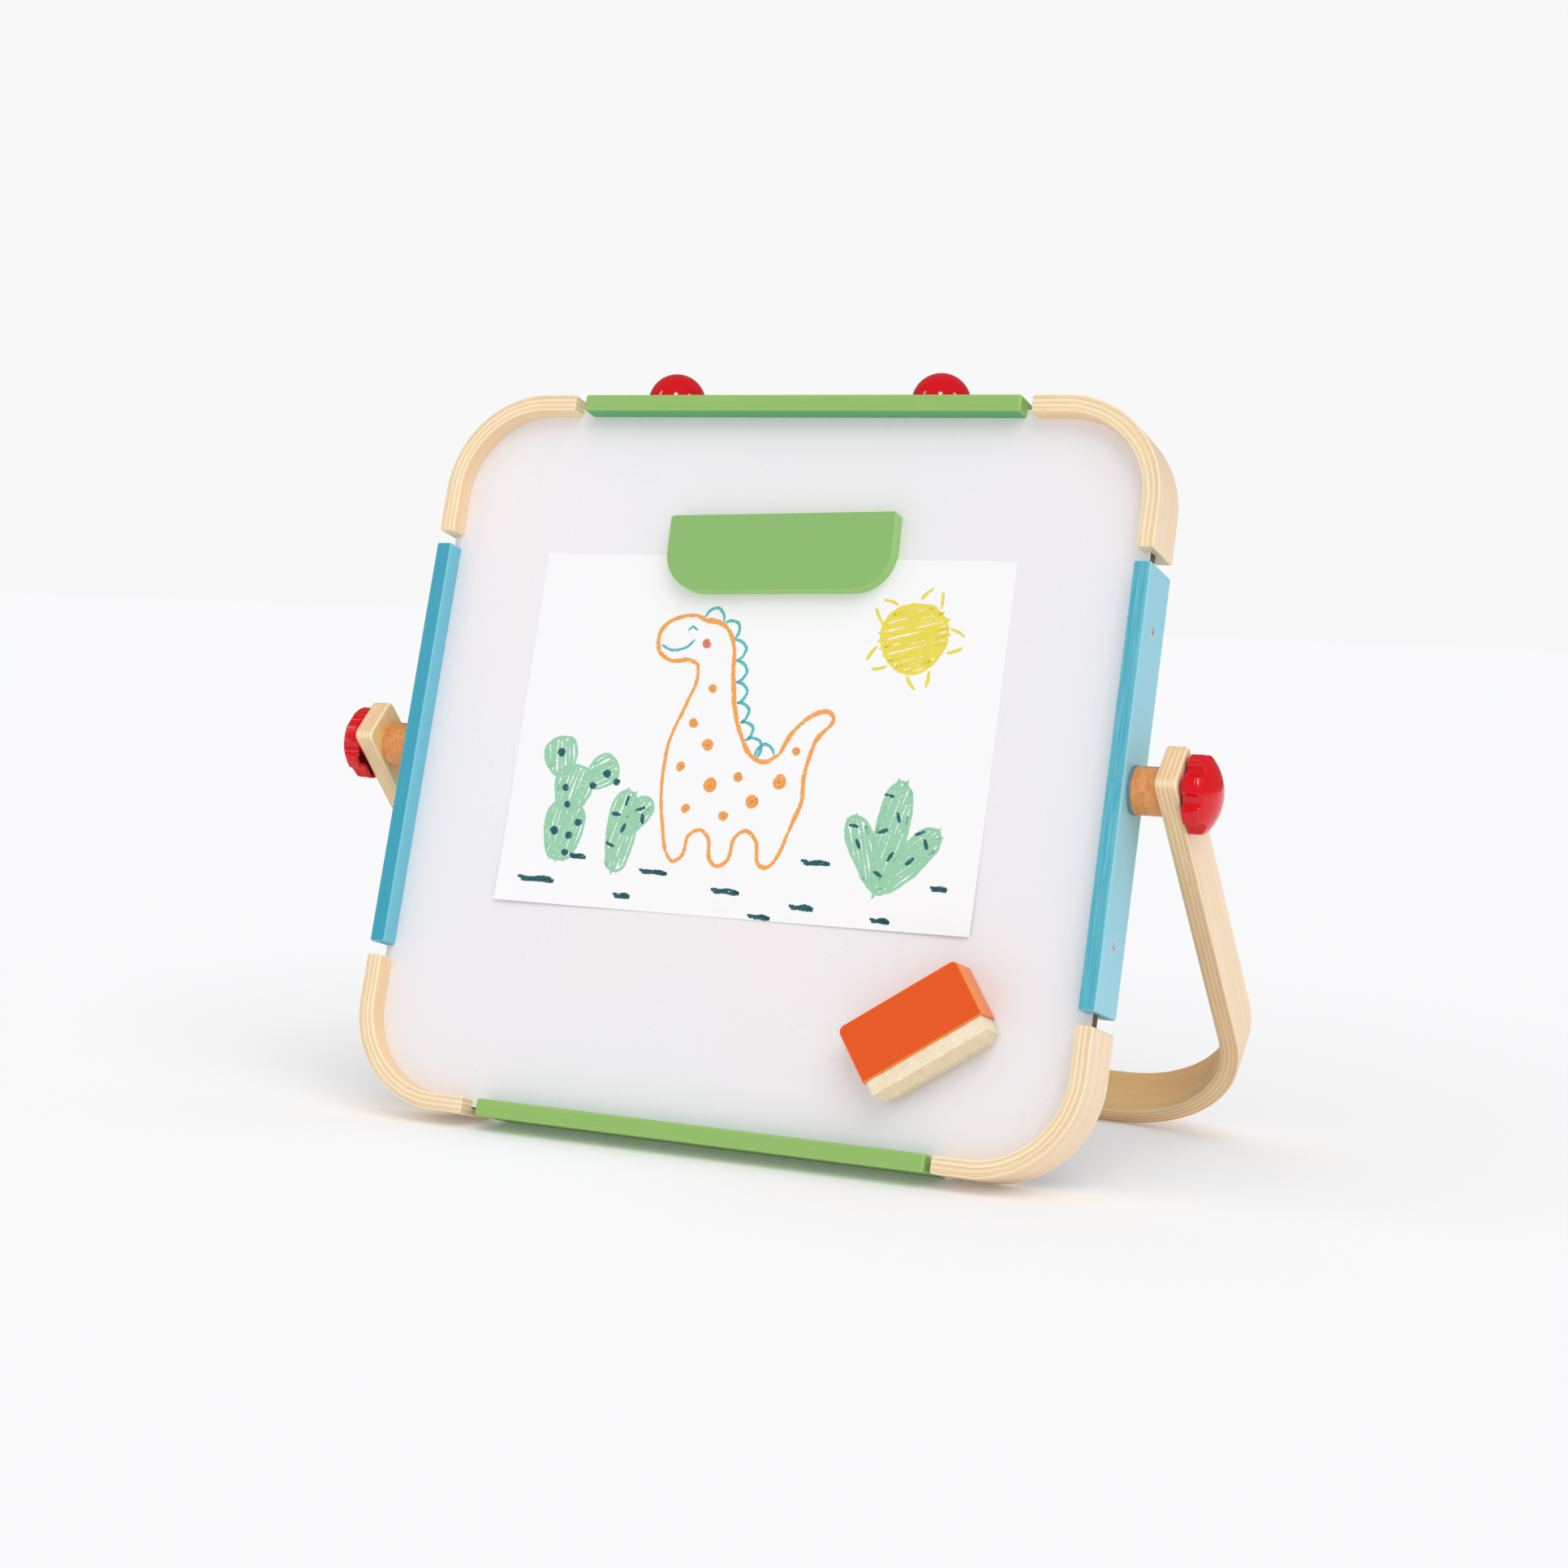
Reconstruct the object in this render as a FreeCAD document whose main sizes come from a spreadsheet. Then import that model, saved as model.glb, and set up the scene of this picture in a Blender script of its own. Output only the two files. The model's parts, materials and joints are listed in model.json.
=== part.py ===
import FreeCAD, Part
import math
import os

import Sketcher
from FreeCAD import Placement, Rotation, Vector

os.makedirs("parts", exist_ok=True)

# A double-sided table easel: a square board framed by four bent corners and four straight bars,
# hung between the arms of a U-shaped stand. X is the width, the writing face looks towards -Y and
# +Z is up; the origin is on the floor, under the middle of the object.
# All sizes are in millimetres and all angles in degrees.
SIZES = {
    "lean_angle": 15.0,
    "stand_angle": 42.5,
    "frame_width": 449.0,
    "frame_height": 431.0,
    "frame_depth": 37.0,
    "strip_thickness": 10.0,
    "edge_round": 1.5,
    "corner_radius": 60.0,
    "corner_leg_across": 80.0,
    "corner_leg_down": 86.0,
    "side_bar_length": 244.0,
    "cross_bar_length": 276.0,
    "bottom_bar_shift": 3.0,
    "board_recess": 12.0,
    "core_thickness": 7.9,
    "skin_thickness": 0.35,
    "board_margin": 5.0,
    "groove_margin": 4.5,
    "groove_slack": 0.1,
    "notch_height": 12.0,
    "notch_margin": 9.8,
    "bar_screw_height": 86.0,
    "bar_screw_depth": 16.6,
    "screw_shank_radius": 1.5,
    "screw_head_radius": 3.1,
    "screw_head_depth": 1.8,
    "screw_crown": 0.4,
    "bar_screw_length": 18.0,
    "ball_screw_length": 16.0,
    "cross_slot_width": 0.9,
    "cross_slot_length": 3.6,
    "cross_slot_depth": 1.0,
    "ball_radius": 17.0,
    "ball_lift": 1.0,
    "ball_spacing": 169.0,
    "ball_shift": -1.8,
    "bolt_radius": 3.0,
    "bolt_clearance": 0.1,
    "insert_radius": 4.5,
    "insert_length": 9.4,
    "washer_radius": 13.4,
    "washer_thickness": 2.0,
    "spacer_radius": 13.2,
    "spacer_slack": 0.1,
    "arm_gap": 18.5,
    "bow_thickness": 12.0,
    "bow_width": 31.0,
    "bow_radius": 89.0,
    "bow_edge_round": 2.0,
    "arm_end": 22.5,
    "arm_end_round": 5.5,
    "knob_radius": 21.5,
    "knob_height": 17.6,
    "knob_dome_radius": 30.5,
    "knob_rim_lift": 1.3,
    "knob_gap": 0.3,
    "knob_wall": 2.2,
    "scallop_radius": 5.5,
    "scallop_circle": 23.0,
    "boss_radius": 8.0,
    "bolt_head_radius": 6.5,
    "bolt_head_height": 3.0,
    "bolt_head_seat": 2.5,
    "clip_width": 142.0,
    "clip_height": 45.5,
    "clip_thickness": 8.6,
    "clip_corner": 24.0,
    "clip_top_corner": 2.0,
    "clip_angle": 2.0,
    "magnet_radius": 7.0,
    "magnet_thickness": 2.5,
    "clip_magnet_spacing": 45.0,
    "sheet_width": 297.0,
    "sheet_height": 210.0,
    "sheet_thickness": 0.25,
    "sheet_angle": 0.4,
    "laying_gap": 0.05,
    "eraser_length": 76.0,
    "eraser_height": 33.5,
    "eraser_depth": 20.0,
    "eraser_corner": 4.0,
    "eraser_round": 1.0,
    "eraser_angle": 35.0,
    "eraser_magnet_spacing": 40.0,
    "felt_length": 73.0,
    "felt_height": 13.5,
    "felt_depth": 17.0,
    "felt_chamfer": 5.0,
}
SCALLOPS = 7
KNOB_TILT = {1: 49.7, -1: 31.1}
CLIP_PLACE = (1.5, 122.5)
SHEET_PLACE = (-3.6, 16.4)
ERASER_PLACE = (125.0, -137.5)

doc = FreeCAD.newDocument("easel")
sheet = doc.addObject("Spreadsheet::Sheet", "Sizes")
for row, (alias, number) in enumerate(SIZES.items(), start=1):
    sheet.set(f"A{row}", alias)
    sheet.set(f"B{row}", str(number))
    sheet.setAlias(f"B{row}", alias)
doc.recompute()


def size(alias):
    """The number in the sheet's cell of that name."""
    return float(sheet.get(alias))


# ---- where things are -------------------------------------------------------------------------

LEAN = math.radians(size("lean_angle"))
STAND = math.radians(size("stand_angle"))
HALF_WIDTH = size("frame_width") / 2
HALF_HEIGHT = size("frame_height") / 2
DEPTH = size("frame_depth")
ARM_INSIDE = HALF_WIDTH + size("arm_gap")
ARM_OUTSIDE = ARM_INSIDE + size("bow_thickness")

# The frame rests on the rounded back edge of its lowest side.
ROUND = size("edge_round")
FRAME_LIFT = (HALF_HEIGHT - ROUND) * math.cos(LEAN) + (DEPTH - ROUND) * math.sin(LEAN) + ROUND
PIVOT_LIFT = FRAME_LIFT - DEPTH / 2 * math.sin(LEAN)

# The stand is as long as it takes for the rounded front edge of its cross piece to rest too.
BOW_ROUND = size("bow_edge_round")
foot_in = size("bow_width") / 2 - BOW_ROUND
STAND_LENGTH = BOW_ROUND + (PIVOT_LIFT - foot_in * math.sin(STAND) - BOW_ROUND) / math.cos(STAND)

# From the front of the frame's lowest side back to the heel of the stand.
foot_reach = (STAND_LENGTH - BOW_ROUND) * math.sin(STAND) + foot_in * math.cos(STAND) + BOW_ROUND
back_y = DEPTH / 2 * math.cos(LEAN) + foot_reach
front_y = -(HALF_HEIGHT - ROUND) * math.sin(LEAN) + ROUND * math.cos(LEAN) - ROUND
MIDDLE_Y = (front_y + back_y) / 2


def board_place(x=0.0, up=0.0, out=0.0, turn=0.0):
    """A place on the leaning board: local X across, local Y up the board, local Z out of its face."""
    board = Placement(Vector(0, -MIDDLE_Y, FRAME_LIFT), Rotation(Vector(1, 0, 0), 90 - math.degrees(LEAN)))
    return board.multiply(Placement(Vector(x, up, out), Rotation(Vector(0, 0, 1), turn)))


def side_place(side, distance, up=0.0, out=0.0, roll=0.0):
    """A place on a side of the board: local Z points away from the board's middle."""
    tip = Placement(Vector(), Rotation(Vector(0, 1, 0), 90 * side))
    spin = Placement(Vector(), Rotation(Vector(0, 0, 1), roll))
    return board_place(side * distance, up, out).multiply(tip).multiply(spin)


PIVOT_OUT = -DEPTH / 2
pivot = board_place(out=PIVOT_OUT).Base


def stand_place():
    """The stand's plane: local Y runs up the arms from the pivot, local Z looks to the front."""
    return Placement(pivot, Rotation(Vector(1, 0, 0), 90 + math.degrees(STAND)))


# ---- tools for the sketches and features ------------------------------------------------------

PARTS = []


def keep(item, label, place):
    """Give a finished piece its name and its place."""
    item.Label = label
    item.Placement = place
    PARTS.append(item)
    return item


def new_body(name):
    return doc.addObject("PartDesign::Body", name)


def new_sketch(body, name, role="XY_Plane", lift=0.0):
    sketch = body.newObject("Sketcher::SketchObject", name)
    plane = next(item for item in body.Origin.OriginFeatures if item.Role == role)
    sketch.AttachmentSupport = [(plane, "")]
    sketch.MapMode = "FlatFace"
    sketch.AttachmentOffset = Placement(Vector(0, 0, lift), Rotation())
    return sketch


def bind(sketch, constraint, name, formula):
    """Add a dimension to a sketch and tie it to the sheet."""
    index = sketch.addConstraint(constraint)
    sketch.renameConstraint(index, name)
    sketch.setExpression(f"Constraints.{name}", formula)


def draw_rectangle(sketch, left, right, low, high):
    """A rectangle given by four formulas, measured from the sketch's origin."""
    start = sketch.GeometryCount
    corners = [Vector(-5, -5, 0), Vector(5, -5, 0), Vector(5, 5, 0), Vector(-5, 5, 0)]
    for here, there in zip(corners, corners[1:] + corners[:1]):
        sketch.addGeometry(Part.LineSegment(here, there), False)
    for step in range(4):
        following = start + (step + 1) % 4
        sketch.addConstraint(Sketcher.Constraint("Coincident", start + step, 2, following, 1))
    for line, way in ((0, "Horizontal"), (1, "Vertical"), (2, "Horizontal"), (3, "Vertical")):
        sketch.addConstraint(Sketcher.Constraint(way, start + line))
    tag = f"_{start}"
    bind(sketch, Sketcher.Constraint("DistanceX", -1, 1, start, 1, -5.0), "left" + tag, left)
    bind(sketch, Sketcher.Constraint("DistanceX", -1, 1, start, 2, 5.0), "right" + tag, right)
    bind(sketch, Sketcher.Constraint("DistanceY", -1, 1, start, 1, -5.0), "low" + tag, low)
    bind(sketch, Sketcher.Constraint("DistanceY", -1, 1, start + 2, 1, 5.0), "high" + tag, high)


def draw_circle(sketch, radius, across="0", up="0"):
    start = sketch.GeometryCount
    sketch.addGeometry(Part.Circle(Vector(0.1, 0.1, 0), Vector(0, 0, 1), 2.0), False)
    tag = f"_{start}"
    bind(sketch, Sketcher.Constraint("Radius", start, 2.0), "radius" + tag, radius)
    bind(sketch, Sketcher.Constraint("DistanceX", -1, 1, start, 3, 0.1), "across" + tag, across)
    bind(sketch, Sketcher.Constraint("DistanceY", -1, 1, start, 3, 0.1), "up" + tag, up)


def draw_outline(sketch, points, formulas):
    """A closed outline of straight lines whose corners are tied to the sheet where a formula is given."""
    count = len(points)
    for step in range(count):
        ends = Vector(*points[step], 0), Vector(*points[(step + 1) % count], 0)
        sketch.addGeometry(Part.LineSegment(*ends), False)
    for step in range(count):
        sketch.addConstraint(Sketcher.Constraint("Coincident", step, 2, (step + 1) % count, 1))
    for step, (across, up) in enumerate(formulas):
        x, y = points[step]
        bind(sketch, Sketcher.Constraint("DistanceX", -1, 1, step, 1, x), f"across_{step}", across)
        bind(sketch, Sketcher.Constraint("DistanceY", -1, 1, step, 1, y), f"up_{step}", up)


def pad(body, sketch, length, midplane=False, backwards=False):
    feature = body.newObject("PartDesign::Pad", sketch.Name + "Pad")
    feature.Profile = sketch
    feature.setExpression("Length", length)
    feature.SideType = "Symmetric" if midplane else "One side"
    feature.Reversed = backwards
    sketch.Visibility = False
    doc.recompute()
    return feature


def pocket(body, sketch, depth, midplane=False, backwards=False):
    """Cut a sketch's shape into the body, and stop if it cuts nothing."""
    before = body.Shape.Volume
    feature = body.newObject("PartDesign::Pocket", sketch.Name + "Pocket")
    feature.Profile = sketch
    feature.setExpression("Length", depth)
    feature.SideType = "Symmetric" if midplane else "One side"
    feature.Reversed = backwards
    doc.recompute()
    if not body.Shape.Volume < before - 0.01:
        raise RuntimeError(f"{feature.Name} cuts nothing")
    return feature


def dress(body, kind, amount, chosen):
    """Round or chamfer the edges of the body's last shape for which chosen(edge) is true."""
    base = body.Tip
    names = [f"Edge{n}" for n, edge in enumerate(base.Shape.Edges, start=1) if chosen(edge)]
    feature = body.newObject("PartDesign::" + kind, f"{body.Name}{kind}{len(body.Group)}")
    feature.Base = (base, names)
    feature.setExpression("Radius" if kind == "Fillet" else "Size", amount)
    doc.recompute()
    return feature


def every_edge(edge):
    return True


def along(axis):
    """Straight edges that run along an axis."""
    def chosen(edge):
        if not isinstance(edge.Curve, Part.Line):
            return False
        return abs(edge.tangentAt(edge.FirstParameter).dot(axis)) > 0.99
    return chosen


AXIS_X = Vector(1, 0, 0)
AXIS_Y = Vector(0, 1, 0)
AXIS_Z = Vector(0, 0, 1)


def tube(label, place, outer, inner, length):
    """A round piece with a hole through it, standing on its local XY plane."""
    body = new_body(label)
    sketch = new_sketch(body, label + "_ring")
    draw_circle(sketch, outer)
    draw_circle(sketch, inner)
    pad(body, sketch, length)
    return keep(body, label, place)


# ---- the frame's bars and corners -------------------------------------------------------------

GROOVE_BACK = "-(Sizes.board_recess + Sizes.core_thickness + 2 * Sizes.skin_thickness + Sizes.groove_slack)"
GROOVE_FRONT = "-(Sizes.board_recess - Sizes.groove_slack)"
GROOVE_SPAN = "Sizes.core_thickness + 2 * Sizes.skin_thickness + 2 * Sizes.groove_slack"


def straight_bar(label, length, place):
    """A bar with eased edges and a groove for the board; local Y points out of the frame."""
    body = new_body(label)
    blank = new_sketch(body, label + "_blank", lift=-DEPTH / 2)
    draw_rectangle(blank, f"-{length} / 2", f"{length} / 2", "-Sizes.strip_thickness", "0")
    pad(body, blank, "Sizes.frame_depth", midplane=True)
    dress(body, "Fillet", "Sizes.edge_round", every_edge)
    groove = new_sketch(body, label + "_groove", "YZ_Plane")
    draw_rectangle(groove, "-Sizes.strip_thickness - 1", "-Sizes.groove_margin", GROOVE_BACK, GROOVE_FRONT)
    pocket(body, groove, f"{length} + 2", midplane=True)
    return keep(body, label, place)


def drill_bar(body, name, radius, across, out, depth, start=0.0):
    """A round hole that runs from the bar's outer face towards the board."""
    sketch = new_sketch(body, name, "XZ_Plane", lift=start)
    draw_circle(sketch, radius, across, out)
    pocket(body, sketch, depth, backwards=True)


def side_bar(label, side):
    turn = -90 * side
    bar = straight_bar(label, "Sizes.side_bar_length", board_place(side * HALF_WIDTH, turn=turn))
    drill_bar(bar, label + "_pivot", "Sizes.insert_radius", "0", "-Sizes.frame_depth / 2", "Sizes.strip_thickness")
    for way in (1, -1):
        across = f"{way} * Sizes.bar_screw_height"
        out = "-Sizes.bar_screw_depth"
        drill_bar(bar, f"{label}_hole{way}", "Sizes.screw_shank_radius", across, out, "Sizes.strip_thickness")
        drill_bar(bar, f"{label}_sink{way}", "Sizes.screw_head_radius", across, out, "Sizes.screw_head_depth")


def cross_bar(label, way, shift):
    turn = 0 if way > 0 else 180
    length = "Sizes.cross_bar_length"
    bar = straight_bar(label, length, board_place(shift, way * HALF_HEIGHT, turn=turn))
    if way < 0:
        return
    for side in (1, -1):
        across = f"{side} * Sizes.ball_spacing / 2 + Sizes.ball_shift"
        out = "-Sizes.frame_depth / 2"
        drill_bar(bar, f"{label}_hole{side}", "Sizes.screw_shank_radius", across, out, "Sizes.strip_thickness")
        sink = "Sizes.strip_thickness - Sizes.groove_margin + Sizes.screw_head_depth"
        start = size("groove_margin") - size("screw_head_depth")
        drill_bar(bar, f"{label}_sink{side}", "Sizes.screw_head_radius", across, out, sink, start)


def bent_corner(label, place, first_leg, second_leg):
    """A strip bent through a right angle about the outline's corner; its legs run along -X and -Y."""
    body = new_body(label)
    band = new_sketch(body, label + "_band")
    thick = size("strip_thickness")
    points = [(0, 0), (-80, 0), (-80, -thick), (-thick, -thick), (-thick, -80), (0, -80)]
    formulas = [
        ("0", "0"),
        ("-" + first_leg, "0"),
        ("-" + first_leg, "-Sizes.strip_thickness"),
        ("-Sizes.strip_thickness", "-Sizes.strip_thickness"),
        ("-Sizes.strip_thickness", "-" + second_leg),
        ("0", "-" + second_leg),
    ]
    draw_outline(band, points, formulas)
    pad(body, band, "Sizes.frame_depth", backwards=True)

    def bend_edge(inset):
        def chosen(edge):
            middle = edge.CenterOfMass
            return along(AXIS_Z)(edge) and abs(middle.x + inset) < 0.01 and abs(middle.y + inset) < 0.01
        return chosen

    dress(body, "Fillet", "Sizes.corner_radius", bend_edge(0.0))
    dress(body, "Fillet", "Sizes.corner_radius - Sizes.strip_thickness", bend_edge(thick))
    dress(body, "Fillet", "Sizes.edge_round", every_edge)

    groove = new_sketch(body, label + "_groove", lift=-(size("board_recess") - size("groove_slack")))
    board_corner(groove)
    pocket(body, groove, GROOVE_SPAN)
    return keep(body, label, place)


def board_corner(sketch):
    """The outline that a groove cuts in a bent corner: two straight sides joined by a round corner."""
    far = size("corner_leg_down") + 6
    inset = size("groove_margin")
    radius = size("corner_radius")
    bend = radius - inset
    diagonal = bend * math.sqrt(0.5)
    middle = Vector(-radius + diagonal, -radius + diagonal, 0)
    top, side = Vector(-radius, -inset, 0), Vector(-inset, -radius, 0)
    sketch.addGeometry(Part.LineSegment(Vector(-far, -inset, 0), top), False)
    sketch.addGeometry(Part.Arc(top, middle, side), False)
    sketch.addGeometry(Part.LineSegment(side, Vector(-inset, -far, 0)), False)
    sketch.addGeometry(Part.LineSegment(Vector(-inset, -far, 0), Vector(-far, -far, 0)), False)
    sketch.addGeometry(Part.LineSegment(Vector(-far, -far, 0), Vector(-far, -inset, 0)), False)
    # The arc runs anticlockwise, so its first end is the one on the side.
    for first, end, second, start in ((0, 2, 1, 2), (1, 1, 2, 1), (2, 2, 3, 1), (3, 2, 4, 1), (4, 2, 0, 1)):
        sketch.addConstraint(Sketcher.Constraint("Coincident", first, end, second, start))
    for line, way in ((0, "Horizontal"), (2, "Vertical"), (3, "Horizontal"), (4, "Vertical")):
        sketch.addConstraint(Sketcher.Constraint(way, line))
    centre = "-Sizes.corner_radius"
    bind(sketch, Sketcher.Constraint("DistanceX", -1, 1, 1, 3, -radius), "centre_across", centre)
    bind(sketch, Sketcher.Constraint("DistanceY", -1, 1, 1, 3, -radius), "centre_up", centre)
    bend_radius = Sketcher.Constraint("Radius", 1, bend)
    bind(sketch, bend_radius, "bend", "Sizes.corner_radius - Sizes.groove_margin")
    # The straight sides meet the arc where they are level with its centre.
    sketch.addConstraint(Sketcher.Constraint("Vertical", 1, 2, 1, 3))
    sketch.addConstraint(Sketcher.Constraint("Horizontal", 1, 1, 1, 3))
    reach = "-(Sizes.corner_leg_down + 6)"
    bind(sketch, Sketcher.Constraint("DistanceX", -1, 1, 4, 1, -far), "far_across", reach)
    bind(sketch, Sketcher.Constraint("DistanceY", -1, 1, 4, 1, -far), "far_up", reach)


for name, side in (("bar_left", -1), ("bar_right", 1)):
    side_bar(name, side)
cross_bar("bar_top", 1, 0.0)
cross_bar("bar_bottom", -1, size("bottom_bar_shift"))
across, down = "Sizes.corner_leg_across", "Sizes.corner_leg_down"
bent_corner("corner_top_right", board_place(HALF_WIDTH, HALF_HEIGHT), across, down)
bent_corner("corner_top_left", board_place(-HALF_WIDTH, HALF_HEIGHT, turn=90), down, across)
bent_corner("corner_bottom_left", board_place(-HALF_WIDTH, -HALF_HEIGHT, turn=180), across, down)
bent_corner("corner_bottom_right", board_place(HALF_WIDTH, -HALF_HEIGHT, turn=270), down, across)


# ---- the board --------------------------------------------------------------------------------

def board_layer(label, thickness, front):
    """One layer of the board, with round corners and a notch beside each pivot."""
    body = new_body(label)
    outline = new_sketch(body, label + "_outline")
    half_x = "(Sizes.frame_width / 2 - Sizes.board_margin)"
    half_y = "(Sizes.frame_height / 2 - Sizes.board_margin)"
    draw_rectangle(outline, "-" + half_x, half_x, "-" + half_y, half_y)
    pad(body, outline, thickness, backwards=True)
    dress(body, "Fillet", "Sizes.corner_radius - Sizes.board_margin", along(AXIS_Z))
    notch = new_sketch(body, label + "_notch")
    for side in (1, -1):
        inner = f"{side} * (Sizes.frame_width / 2 - Sizes.notch_margin)"
        outer = f"{side} * (Sizes.frame_width / 2)"
        ends = (inner, outer) if side > 0 else (outer, inner)
        draw_rectangle(notch, *ends, "-Sizes.notch_height / 2", "Sizes.notch_height / 2")
    pocket(body, notch, thickness)
    return keep(body, label, board_place(out=-front))


recess = size("board_recess")
skin = size("skin_thickness")
board_layer("whiteboard_skin", "Sizes.skin_thickness", recess)
board_core = board_layer("board_core", "Sizes.core_thickness", recess + skin)
board_layer("chalkboard_skin", "Sizes.skin_thickness", recess + skin + size("core_thickness"))

for side in (1, -1):
    for way in (1, -1):
        hole = new_sketch(board_core, f"core_hole{side}{way}", "YZ_Plane")
        hole.AttachmentOffset = Placement(Vector(0, 0, side * (HALF_WIDTH + 1)), Rotation())
        depth = "-(Sizes.bar_screw_depth - Sizes.board_recess - Sizes.skin_thickness)"
        draw_circle(hole, "Sizes.screw_shank_radius", f"{way} * Sizes.bar_screw_height", depth)
        pocket(board_core, hole, "Sizes.bar_screw_length + 1.2", backwards=side < 0)


# ---- screws -----------------------------------------------------------------------------------

def turned(label, points, formulas):
    """A piece turned about its local Z axis; the profile's points are (radius, height)."""
    body = new_body(label)
    profile = new_sketch(body, label + "_profile", "XZ_Plane")
    draw_outline(profile, points, formulas)
    feature = body.newObject("PartDesign::Revolution", label + "_turn")
    feature.Profile = profile
    feature.ReferenceAxis = (profile, ["V_Axis"])
    feature.Angle = 360
    doc.recompute()
    return body


def wood_screw(label, length):
    """A screw with a countersunk cross head, its top at the origin and its shank along -Z."""
    head = size("screw_head_radius")
    sink = size("screw_head_depth")
    shank = size("screw_shank_radius")
    long = size(length)
    crown = size("screw_crown")
    point = 4.0
    points = [(0, crown), (head * 0.6, crown * 0.7), (head, 0), (shank, -sink)]
    points += [(shank, -long + point), (0, -long)]
    radius = "Sizes.screw_head_radius"
    formulas = [
        ("0", "Sizes.screw_crown"),
        (f"{radius} * 0.6", "Sizes.screw_crown * 0.7"),
        (radius, "0"),
        ("Sizes.screw_shank_radius", "-Sizes.screw_head_depth"),
        ("Sizes.screw_shank_radius", f"-Sizes.{length} + 4"),
        ("0", f"-Sizes.{length}"),
    ]
    body = turned(label, points, formulas)
    slot = new_sketch(body, label + "_slot", lift=crown)
    draw_rectangle(slot, "-Sizes.cross_slot_length / 2", "Sizes.cross_slot_length / 2",
                   "-Sizes.cross_slot_width / 2", "Sizes.cross_slot_width / 2")
    pocket(body, slot, "Sizes.cross_slot_depth")
    slot = new_sketch(body, label + "_cross", lift=crown)
    draw_rectangle(slot, "-Sizes.cross_slot_width / 2", "Sizes.cross_slot_width / 2",
                   "-Sizes.cross_slot_length / 2", "Sizes.cross_slot_length / 2")
    pocket(body, slot, "Sizes.cross_slot_depth")
    return body


def group(label, items):
    """Identical pieces that share one node."""
    compound = doc.addObject("Part::Compound", label)
    compound.Links = items
    doc.recompute()
    return keep(compound, label, Placement())


screws = []
for side in (1, -1):
    for way in (1, -1):
        screw = wood_screw(f"bar_screw_{len(screws)}", "bar_screw_length")
        up = way * size("bar_screw_height")
        screw.Placement = side_place(side, HALF_WIDTH, up, -size("bar_screw_depth"), roll=20.0 * way)
        screws.append(screw)
group("bar_screws", screws)

ball_screws = []
for side in (1, -1):
    screw = wood_screw(f"ball_screw_{len(ball_screws)}", "ball_screw_length")
    across = side * size("ball_spacing") / 2 + size("ball_shift")
    seat = HALF_HEIGHT - size("groove_margin")
    flip = Placement(Vector(), Rotation(AXIS_X, 90))
    screw.Placement = board_place(across, seat, -DEPTH / 2).multiply(flip)
    ball_screws.append(screw)
group("ball_screws", ball_screws)


# ---- the two half balls on the top bar --------------------------------------------------------

def half_ball(label, side):
    """A ball sliced a little below its middle, with a hole for its screw."""
    body = new_body(label)
    profile = new_sketch(body, label + "_profile", "XZ_Plane")
    radius = size("ball_radius")
    lift = size("ball_lift")
    foot = math.sqrt(radius ** 2 - lift ** 2)
    top = radius + lift
    edge = Vector(radius * math.cos(0.7), lift + radius * math.sin(0.7), 0)
    profile.addGeometry(Part.Arc(Vector(foot, 0, 0), edge, Vector(0, top, 0)), False)
    profile.addGeometry(Part.LineSegment(Vector(0, top, 0), Vector(0, 0, 0)), False)
    profile.addGeometry(Part.LineSegment(Vector(0, 0, 0), Vector(foot, 0, 0)), False)
    profile.addConstraint(Sketcher.Constraint("Coincident", 0, 2, 1, 1))
    profile.addConstraint(Sketcher.Constraint("Coincident", 1, 2, 2, 1))
    profile.addConstraint(Sketcher.Constraint("Coincident", 2, 2, 0, 1))
    profile.addConstraint(Sketcher.Constraint("Coincident", 1, 2, -1, 1))
    profile.addConstraint(Sketcher.Constraint("Vertical", 1))
    profile.addConstraint(Sketcher.Constraint("Horizontal", 2))
    profile.addConstraint(Sketcher.Constraint("PointOnObject", 0, 3, -2))
    bind(profile, Sketcher.Constraint("Radius", 0, radius), "ball", "Sizes.ball_radius")
    bind(profile, Sketcher.Constraint("DistanceY", -1, 1, 0, 3, lift), "lift", "Sizes.ball_lift")
    feature = body.newObject("PartDesign::Revolution", label + "_turn")
    feature.Profile = profile
    feature.ReferenceAxis = (profile, ["V_Axis"])
    feature.Angle = 360
    doc.recompute()
    hole = new_sketch(body, label + "_hole")
    draw_circle(hole, "Sizes.screw_shank_radius")
    pocket(body, hole, "Sizes.ball_screw_length - Sizes.groove_margin + 1", backwards=True)
    across = side * size("ball_spacing") / 2 + size("ball_shift")
    upright = Placement(Vector(), Rotation(AXIS_X, -90))
    return keep(body, label, board_place(across, HALF_HEIGHT, -DEPTH / 2).multiply(upright))


half_ball("ball_knob_left", -1)
half_ball("ball_knob_right", 1)


# ---- the pivots: insert, washer, spacer, bolt and star knob -----------------------------------

BOLT_HOLE = "Sizes.bolt_radius + Sizes.bolt_clearance"


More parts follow.
